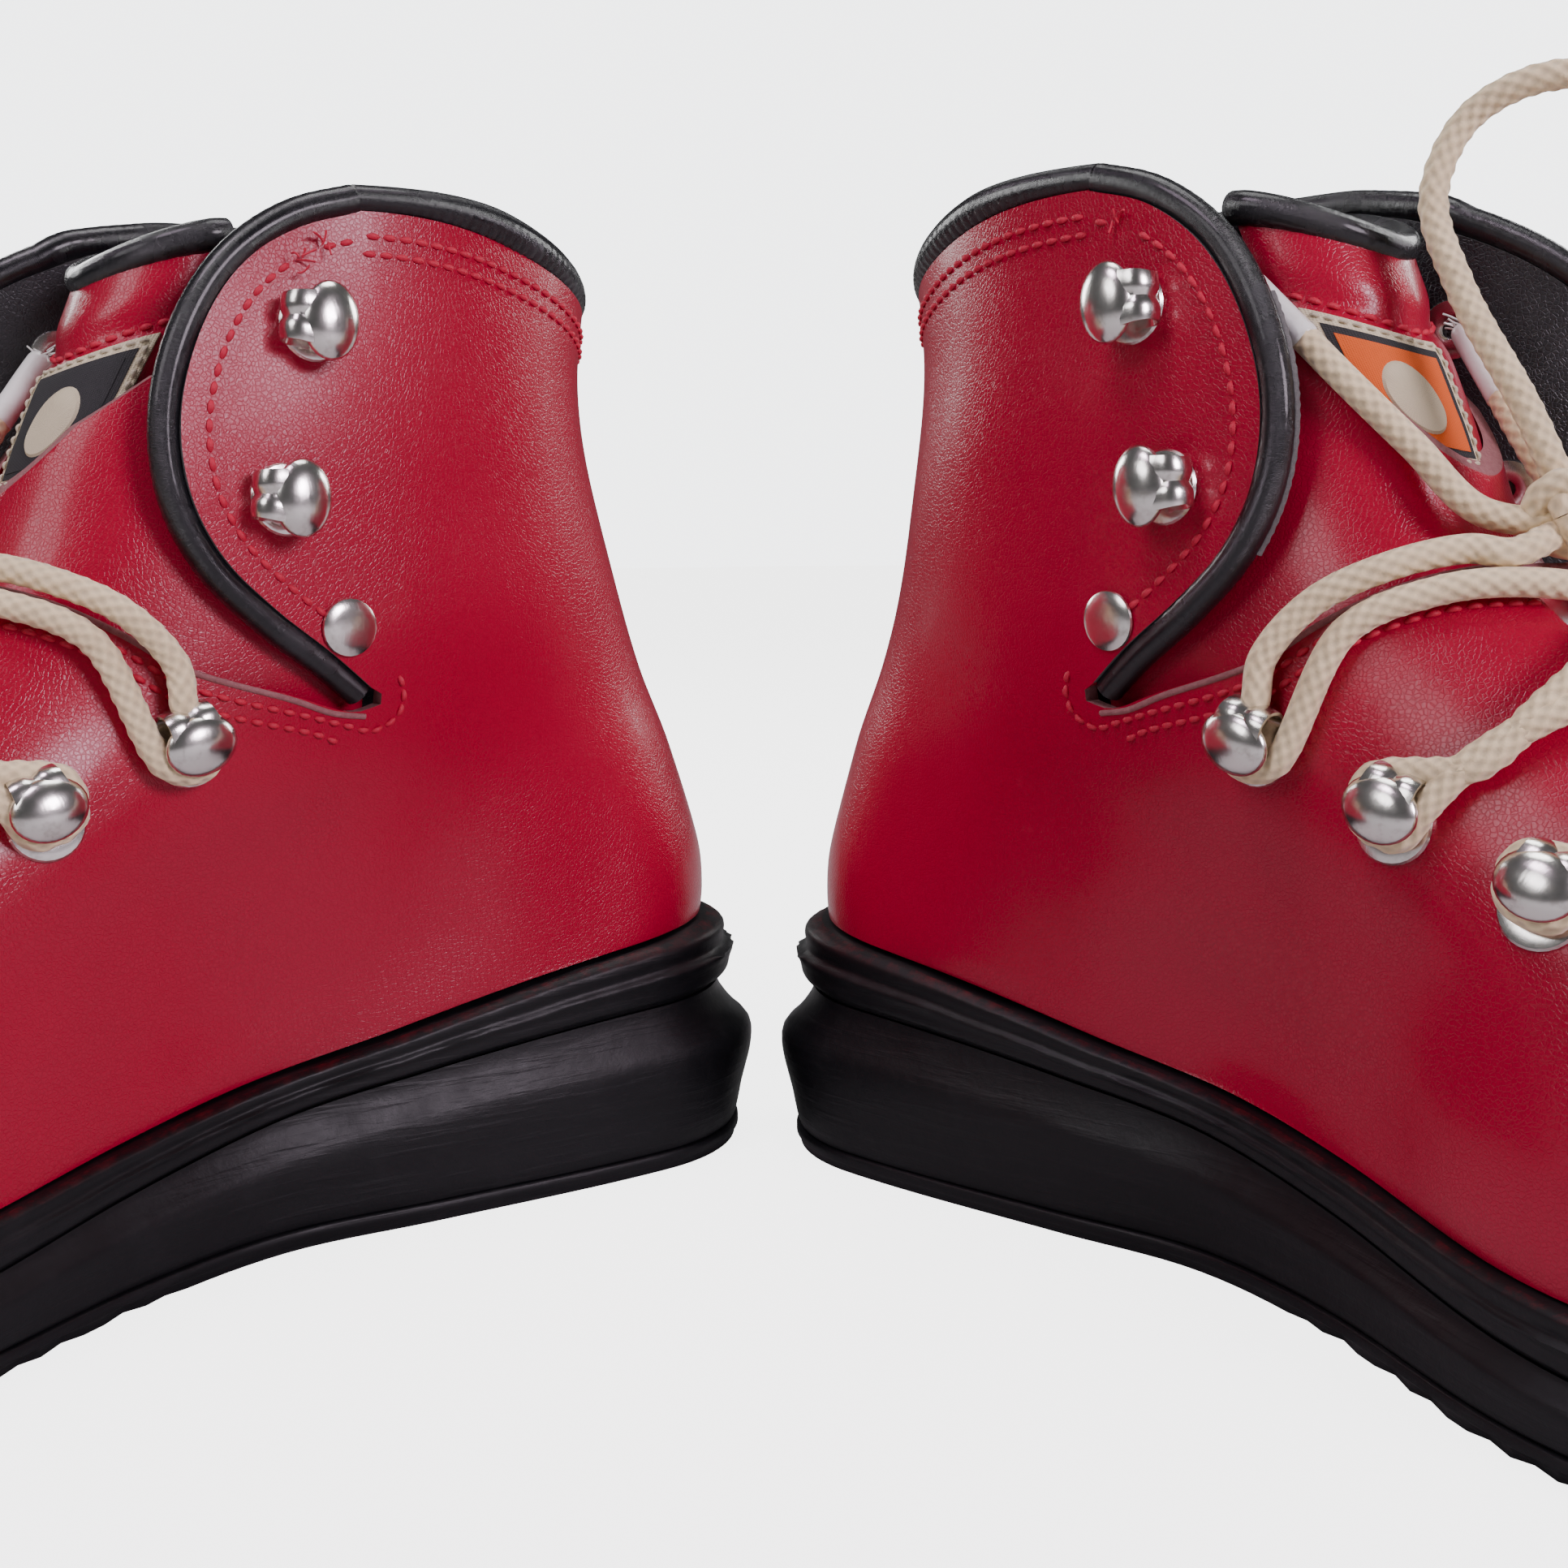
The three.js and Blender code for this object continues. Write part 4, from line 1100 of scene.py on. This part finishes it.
def neck(thick=1.0):
    """The bent strip, 7 mm wide with a groove down its middle, as a closed grid of rings along its bend."""
    shape = [[1.0, 0.9], [4.4, 1.0], [6.1, 2.6], [6.3, 4.8], [5.2, 6.7], [2.6, 7.4]]
    bend = line_through(np.insert(shape, 1, 0, axis=1), 0.5)
    wide = np.interp(np.linspace(0, 1, len(bend)), [0, 0.3, 0.6, 1], [4.2, 3.9, 3.6, 4.2])
    ahead = unit(np.gradient(bend, axis=0))
    out = np.stack([ahead[:, 2], np.zeros(len(bend)), -ahead[:, 0]], -1)
    s = np.concatenate([np.linspace(-1, 1, 13), np.linspace(1, -1, 13)])
    face = np.repeat([1.0, -1.0], 13) * thick / 2
    groove = 0.55 * np.exp(-((s / 0.2) ** 2))
    rounding = 0.25 * np.abs(s) ** 6
    lift = face - groove * (face > 0) - rounding * np.sign(face)
    grid = bend[:, None] + out[:, None] * lift[None, :, None]
    grid[..., 1] += s[None] * wide[:, None]
    return grid


FOOT_DISC = [[0.01, 0.1], [5.6, 0.1], [5.9, 0.5], [5.6, 0.95], [4.6, 1.15], [3.4, 1.1], [0.01, 1.1]]
DOME = [[0.01, 6.7], [4.2, 6.6], [5.4, 6.3], [5.8, 6.35], [5.85, 6.75], [5.5, 7.3], [4.6, 8.0], [3.3, 8.55],
        [1.7, 8.85], [0.01, 8.95]]
WASHER = [[1.5, -0.3], [4.9, -0.3], [5.1, 0.1], [4.9, 0.5], [3.4, 0.8], [2.1, 0.75], [1.5, 0.4]]
RIVET_HEAD = [[0.01, 0.2], [4.6, 0.15], [4.9, 0.4], [4.8, 0.8], [4.2, 1.15], [3, 1.4], [1.5, 1.55], [0.01, 1.6]]


def placed(grid, at, normal, towards):
    n = unit(towards - normal * np.dot(towards, normal))
    s = np.cross(normal, n)
    return at + grid[..., :1] * n + grid[..., 1:2] * s + grid[..., 2:] * normal


def hook(foot, body, node, at, normal, towards, wide=1.08, long=0.82, shift=-0.4, base=0.0):
    heap = Heap()
    for grid in (lathe(FOOT_DISC, shift=base), neck(), lathe(DOME, wide=wide, long=long, shift=shift)):
        heap.net(placed(grid, at, normal, towards), wrap=True, caps=True)
    replace(heap.make(f"{foot}_{node}_nickel", foot, [NICKEL], METAL_EDGE), foot, body, "nickel", node)


# %% Place hooks and rivets
for foot in FEET:
    for side in SIDES:
        for i, (x, z) in enumerate(LOWER_HOOKS, 1):
            at, normal = dented(*on_upper(x, z, side), foot)
            towards = UP * 1.0 + np.array([0.35, 0, 0])
            node = f"{side}_lower_hook_{i}"
            hook(foot, "foot", node, at, normal, towards, wide=1.0, shift=0.5, base=-1.7)
        for i, (x, z) in enumerate(CUFF_HOOKS[side], 1):
            at, normal = dented(*on_flap(x, z, side), foot)
            towards = np.array([1.0, 0, 0.12])
            hook(foot, f"{side}_flap", f"{side}_cuff_hook_{i}", at, normal, towards)
            back = at - normal * (FLAP_THICK + dents(at, foot))
            washer = Heap().net(placed(lathe(WASHER), back, -normal, UP), wrap=True, close=True)
            washer = washer.make(f"{foot}_{side}_washer_{i}_nickel", foot, [NICKEL], METAL_EDGE)
            replace(washer, foot, f"{side}_flap", "nickel")
        at, normal = dented(*on_flap(*RIVET[side], side), foot)
        head = placed(lathe(RIVET_HEAD), at, normal, UP)
        rivet = solid(f"{foot}_{side}_rivet_nickel", foot, head, NICKEL, smooth=METAL_EDGE)
        bend_with(rivet, foot, side, "nickel", f"{side}_rivet")
print("hooks and rivets placed")

# %% [markdown]
# ## The padded tongue
# The tongue is a crescent of leather over foam. It is a closed cushion: two curved faces that meet at thin sides,
# with a rounded top. A row of stitches holds the foam below the top, so the pad is drawn in there. A black roll
# finishes the top edge, and a small woven label is sewn on the front.

# %% The tongue's cushion
tongue_thick = through([[3, 3], [4.5, 6], [6.6, 9], [7, 8]])
tongue_half = through([[3, 0.3], [4.2, 0.5], [5.2, 0.66], [6.4, 0.9], [7, 0.95]])
TONGUE_DEPTH = LEATHER + LINING_THICK + 3 * GAP + 2
PAD_SEAM = 6.42  # where the stitched row below the top draws the pad in, as a loop number


def tongue_at(u, k, face=1):
    """A point of the tongue: k runs across it from -1 to 1, and face is 1 outside and -1 inside."""
    thick = tongue_thick(u) * (1 - 0.3 * np.exp(-(((u - PAD_SEAM) / 0.09) ** 2)))
    swell = np.sqrt(np.clip(1 - np.abs(k) ** 3.2, 0, 1))
    depth = TONGUE_DEPTH + tongue_thick(u) / 2 - face * swell * thick / 2
    place = under(u, np.pi + k * tongue_half(u), depth)
    lift = 2.5 * np.clip(u - 6, 0, 1)
    place[..., 2] += lift * (1 - np.asarray(k) ** 2)
    return place


def build_tongue(foot):
    u = np.linspace(3, RIM, 90)[:, None]
    k = np.linspace(-1, 1, 41)[None]
    faces = [tongue_at(u, k, face) for face in (1, -1)]
    middle = (faces[0] + faces[1]) / 2
    tops = [[], []]
    for turn_by in np.linspace(0, math.pi / 2, 9)[1:]:
        for rows, face in zip(tops, faces):
            row = middle[-1] + (face[-1] - middle[-1]) * max(0.02, math.cos(turn_by))
            rows.append(row + [0, 0, 2.6 * math.sin(turn_by)])
    outer, inner = (np.concatenate([face, np.array(rows)]) for face, rows in zip(faces, tops))
    grid = np.concatenate([outer, inner[:, -2:0:-1]], axis=1)
    pad = solid(f"{foot}_tongue_pad", foot, grid, RED)
    replace(pad, foot, "tongue", "red_leather", "tongue")
    top = line_through(mix(middle[-1], faces[0][-1], 0.62) + [0, 0, 1.2], 0.8)
    roll = rolled(top, np.tile(UP, (len(top), 1)), 2.7, 0.015, 2.4)
    replace(solid(f"{foot}_tongue_roll", foot, roll, PIPING, size=(4, 1)), foot, "tongue", "black_leather")
    across_it = np.linspace(-0.9, 0.9, 70)
    line = tongue_at(np.full(70, PAD_SEAM), across_it)
    normal = skin_normal(np.full(70, PAD_SEAM), np.pi + across_it * tongue_half(PAD_SEAM))
    heap = Heap()
    stitches(heap, line, normal, pitch=3.0)
    return heap


# %% The woven label
def label_patch(heap, u_range, k_range, lift, slot, rows=24, columns=24):
    u = np.linspace(*u_range, rows)[:, None]
    k = np.linspace(*k_range, columns)[None]
    at = tongue_at(u, k)
    normal = skin_normal(u, np.pi + k * tongue_half(u))
    grid = np.concatenate([at + normal * lift, (at + normal * (lift - 0.5))[:, ::-1]], axis=1)
    heap.net(grid, wrap=True, caps=True, slot=slot)


def build_label(foot, seams):
    heap = Heap()
    low, high, half, middle = 5.6, 6.36, 0.45, -0.42
    label_patch(heap, (low, high), (middle - half, middle + half), 0.55, 0)
    label_patch(heap, (low + 0.06, high - 0.06), (middle - half + 0.07, middle + half - 0.07), 0.65, 2)
    field = 1 if foot == "left" else 2
    label_patch(heap, (low + 0.1, high - 0.1), (middle - half + 0.12, middle + half - 0.12), 0.75, field)
    a = turns(36)
    rings = []
    for size in (0.02, 0.5, 0.9, 1.0):
        u = (low + high) / 2 + 0.22 * size * np.cos(a)
        k = middle + 0.2 * size * np.sin(a)
        normal = skin_normal(u, np.pi + k * tongue_half(u))
        rings.append(tongue_at(u, k) + normal * (1.1 if size < 1 else 0.6))
    heap.net(np.array(rings), wrap=True, caps=True, slot=0)
    obj = heap.make(f"{foot}_tongue_label", foot, [LABEL_CREAM, LABEL_ORANGE, LABEL_BLACK], 40)
    replace(obj, foot, "tongue", "lace")
    near, far = middle - half, middle + half
    corners = [(low, near), (high, near), (high, far), (low, far), (low, near)]
    edging = Heap()
    for (u0, k0), (u1, k1) in zip(corners, corners[1:]):
        inset = lambda u, k: (mix(u, (low + high) / 2, 0.07), mix(k, middle, 0.07))
        ends = [inset(u0, k0), inset(u1, k1)]
        u, k = (np.linspace(ends[0][i], ends[1][i], 30) for i in (0, 1))
        normal = skin_normal(u, np.pi + k * tongue_half(u))
        stitches(edging, tongue_at(u, k) + normal * 0.6, normal, pitch=2.2, long=1.8, thick=0.35)
    replace(edging.make(f"{foot}_label_stitching", foot, [CREAM_THREAD], 60), foot, "tongue", "lace")
    replace(seams.make(f"{foot}_tongue_stitching", foot, [THREAD], 60), foot, "tongue", "red_leather")


for foot in FEET:
    build_label(foot, build_tongue(foot))
print("tongues built")

# %% [markdown]
# ## Laces
# The lace is a round cotton braid. Over the hooks it is held all the way, so it is one fixed piece that follows
# the solid lacing's own route. Its two ends come free at the knot: those are cords, with a real length and a
# plastic tip.
# The coarse braid is in the mesh: two families of strands wind round it in opposite ways, and each makes the
# circle swell. The cotton's own finish draws the fine plait on top.

# %% The lacing's route
LACE_RADIUS = 2.2
LACE_LIFT = LACE_RADIUS + 1.6
OVER_LIFT = LACE_LIFT + 2 * LACE_RADIUS + 0.6
BOW_LIFT = OVER_LIFT + 2 * LACE_RADIUS + 2.8
DISC_HEIGHT = 1.2
ROUND_HOOK, BEHIND_HOOK = LACE_RADIUS + 2.3, 3.1  # how far from a hook's middle the lace runs beside and behind it
KNOT = np.array([159, 7, 126.0])
CROSSING_X = [165, 180, 196, 205]
FIRST_STRAND = {
    "inner": [[148, 119.5], [140, 117.5], [132, 113], [126, 105]],
    "outer": [[149, 118], [142, 111.5], [135, 105], [129, 100]],
}


def lacing_route():
    points = []

    def flat_way(at, normal, other):
        d = other - at
        return unit(d - normal * np.dot(d, normal))

    def wrap(at, normal, came, goes):
        pull = unit(flat_way(at, normal, came) + flat_way(at, normal, goes))
        side = np.cross(normal, pull)
        if np.dot(side, flat_way(at, normal, came)) < np.dot(side, flat_way(at, normal, goes)):
            side = -side
        high = at + normal * (DISC_HEIGHT + GAP + LACE_RADIUS)
        for a, b in ((1, 0.7), (0.72, -0.72), (0, -1), (-0.72, -0.72), (-1, 0.7)):
            points.append(high + side * a * ROUND_HOOK + pull * b * (ROUND_HOOK if b > 0 else BEHIND_HOOK))

    def cross(a, b, lift, middle):
        for t in (0.05, 0.14, 0.26, 0.5, 0.74, 0.86, 0.95):
            bow = math.sin(math.pi * t)
            x = mix(a[0], b[0], t) + (middle - (a[0] + b[0]) / 2) * bow**0.5
            points.append(above(x, mix(a[1], b[1], t), LACE_LIFT + (lift - LACE_LIFT) * bow**2))

    from_knot = {s: [beside(x, z, LACE_LIFT, s) for x, z in places] for s, places in FIRST_STRAND.items()}
    order = [(row, "outer" if row % 2 else "inner") for row in range(4)]
    order += [(row, "inner" if row % 2 else "outer") for row in (3, 2, 1, 0)]
    run = [on_upper(*LOWER_HOOKS[row], side) for row, side in order]
    points.append(KNOT + [-1, 2, -2.5])
    points.append(above(152, 15.5, LACE_LIFT + 1.2))
    points.extend(from_knot["inner"])
    for i, (at, normal) in enumerate(run):
        came = points[-1] if i == 0 else run[i - 1][0]
        goes = from_knot["outer"][-1] if i == len(run) - 1 else run[i + 1][0]
        wrap(at, normal, came, goes)
        if i < len(run) - 1:
            cross(at, run[i + 1][0], LACE_LIFT if i < 4 else OVER_LIFT, CROSSING_X[min(i, 6 - i)])
    points.extend(from_knot["outer"][::-1])
    points.append(above(152, -15.5, LACE_LIFT + 1.2))
    points.append(KNOT + [-1, -2, -2.5])
    return np.array(points)


# %% A braided cord
def braided(line, radius, sides=16):
    """Ring points of a braid: eight strands, four each way, that swell the cord where they lie on top."""
    run = run_of(line)[:, None]
    around = turns(sides)[None]
    plait = np.cos(4 * around + run * 2 * np.pi / 3.0) + np.cos(4 * around - run * 2 * np.pi / 3.0)
    r = radius * (0.985 + 0.03 * plait)
    return swept(line, polar(r, around))


def lace_mesh(name, foot, route, step=0.5):
    line = line_through(route, step)
    size = (run_of(line)[-1] / LACE_MAP, 1)
    return solid(name, foot, braided(line, LACE_RADIUS), LACE, size=size), line


# %% The free ends' routes
TUCK = {
    "inner": [[148, 126, 1], [140, 137, -2], [131, 147, -2.2], [124, 155, -4.2]],
    "outer": [[149, 127, 1], [144, 137, -1], [137, 147, -2.2]],
}
FORWARD_LOOP = [[170, 5], [177, 7], [186, 11], [192, 19], [187, 27], [176, 28], [168, 20], [164, 12]]
FORWARD_TAIL = [[170, -2, BOW_LIFT], [184, -3, BOW_LIFT], [202, -2, BOW_LIFT], [216, -1, 9], [225, 0, 4.5],
                [232, 0, 4]]
STANDING_LOOP = [[152, 8, 141], [140, 6.5, 160], [134.5, 5, 174], [138, 2, 185], [148, -1, 189.5],
                 [160, -7, 187], [168, -14, 174], [167, -16, 155], [162, -6, 138]]


def free_ends(foot):
    tucked = {side: [beside(x, z, lift, side) for x, z, lift in TUCK[side]] for side in TUCK}
    forward = {side: [above(x, y * OUT[side], BOW_LIFT) for x, y in FORWARD_LOOP] for side in OUT}
    if foot == "left":
        first = [*np.array(STANDING_LOOP, float), KNOT, *tucked["inner"]]
    else:
        first = [*forward["inner"], KNOT, *[above(*place) for place in FORWARD_TAIL]]
    return [KNOT, *first], [KNOT, *forward["outer"], KNOT, *tucked["outer"]]


# %% Lay the laces
def aglet(foot, number, line):
    way = unit(line[-1] - line[-3])
    rest = line[-1] + way * np.linspace(-2.5, 14.3, 60)[:, None]
    share = np.linspace(0, 1, 60)
    radius = np.interp(share, [0, 0.03, 0.06, 0.5, 0.93, 0.97, 1], [1.9, 2.3, 2.34, 2.2, 2.1, 1.9, 1.2])
    heap = Heap()
    around = turns(24)[None]
    dimpled = radius[:, None] * (1 + 0.03 * np.sin(2 * around + share[:, None] * 5))
    heap.net(swept(rest, polar(dimpled, around)), wrap=True, caps=True)
    frayed(heap, line[-1] + way * 14.2, way, 12, number)
    obj = heap.make(f"{foot}_lace_tip_{number}", foot, [AGLET], 50)
    return replace(obj, foot, "foot", "aglet", f"aglet_{number}")


def lay_laces(foot):
    held, line = lace_mesh(f"{foot}_lacing_braid", foot, lacing_route())
    replace(held, foot, "foot", "lace", "lacing")
    lengths = [run_of(line)[-1]]
    for number, route in enumerate(free_ends(foot), 1):
        cord, line = lace_mesh(f"{foot}_lace_end_{number}", foot, route)
        replace(cord, foot, "foot", "lace", "lace_bow")
        tip = aglet(foot, number, line)
        long = float(run_of(line)[-1]) / 1000
        lengths.append(long * 1000)
    band = Heap()
    for tilt, size, shift in ((0.15, 1.0, -1.6), (-0.25, 0.96, 2.2), (1.25, 0.8, 0.3)):
        a = np.linspace(0, 2 * np.pi, 90)
        loop = np.stack([5.0 * size * np.cos(a), shift + 1.6 * np.sin(a), 4.6 * size * np.sin(a)], -1)
        spin = np.array(Matrix.Rotation(tilt, 3, "Z"))
        band.net(braided(KNOT + loop @ spin.T, LACE_RADIUS), wrap=True, caps=True, size=(2, 1))
    replace(band.make(f"{foot}_lace_knot", foot, [LACE], 60), foot, "foot", "lace")
    return [round(float(x)) for x in lengths]


for foot in FEET:
    print(foot, "lace lengths in mm:", lay_laces(foot))

# %% [markdown]
# ## Floor and light
# A plain pale floor and a few large soft lights show the leather's gloss as long gentle highlights. The room
# round the lights is dim, so that black rubber stays black and polished metal has dark parts. A Light Path node
# lets the floor and the backdrop still look pale when they are seen directly.

# %% Floor and lights
floor = bpy.data.objects.new("floor", bpy.data.meshes.new("floor"))
floor.data.from_pydata([(-4, -3, 0), (4, -3, 0), (4, 6, 0), (-4, 6, 0)], [], [(0, 1, 2, 3)])
paint = Paint("pale_floor")
seen = paint.node("ShaderNodeLightPath")
floor.data.materials.append(paint.done(Base_Color=(0.5, 0.5, 0.5), Roughness=0.8, Emission_Strength=3.8,
                                       Emission_Color=paint.blend(seen, (0, 0, 0), (1, 1, 1))))
bpy.context.scene.collection.objects.link(floor)

world = bpy.data.worlds.new("soft_room")
world.use_nodes = True
seen = Wire.node(world.node_tree, "ShaderNodeLightPath")
world.node_tree.links.new((0.08 + seen * 4.1).socket, world.node_tree.nodes["Background"].inputs["Strength"])
world.node_tree.nodes["Background"].inputs["Color"].default_value = (0.97, 0.98, 1.0, 1)
bpy.context.scene.world = world


def soft_light(name, place, target, size, watts, colour=(1, 1, 1)):
    light = bpy.data.lights.new(name, "AREA")
    light.shape, light.size, light.energy, light.color = "DISK", size, watts, colour
    obj = bpy.data.objects.new(name, light)
    obj.location = place
    obj.rotation_euler = (Vector(target) - Vector(place)).to_track_quat("-Z", "Y").to_euler()
    bpy.context.scene.collection.objects.link(obj)


soft_light("window", (0.8, -0.7, 0.5), (-0.08, 0, 0.08), 0.4, 9.5, (1, 0.86, 1))
soft_light("room", (-0.8, -0.8, 0.8), (0.05, 0, 0.08), 0.6, 5, (1, 0.96, 1))
soft_light("skylight", (-0.35, -0.4, 1.05), (-0.12, 0, 0.06), 0.35, 3.5, (1, 0.8, 1))
soft_light("overhead", (0.05, 0.2, 1.3), (0, 0, 0.08), 0.6, 6)
soft_light("left_rim", (-0.9, 0.75, 0.55), (0.1, 0, 0.1), 0.5, 6)
soft_light("right_rim", (0.9, 0.75, 0.55), (-0.1, 0, 0.1), 0.5, 6)
print("lights set")

for block in [m for m in bpy.data.meshes if not m.users]:
    bpy.data.meshes.remove(block)
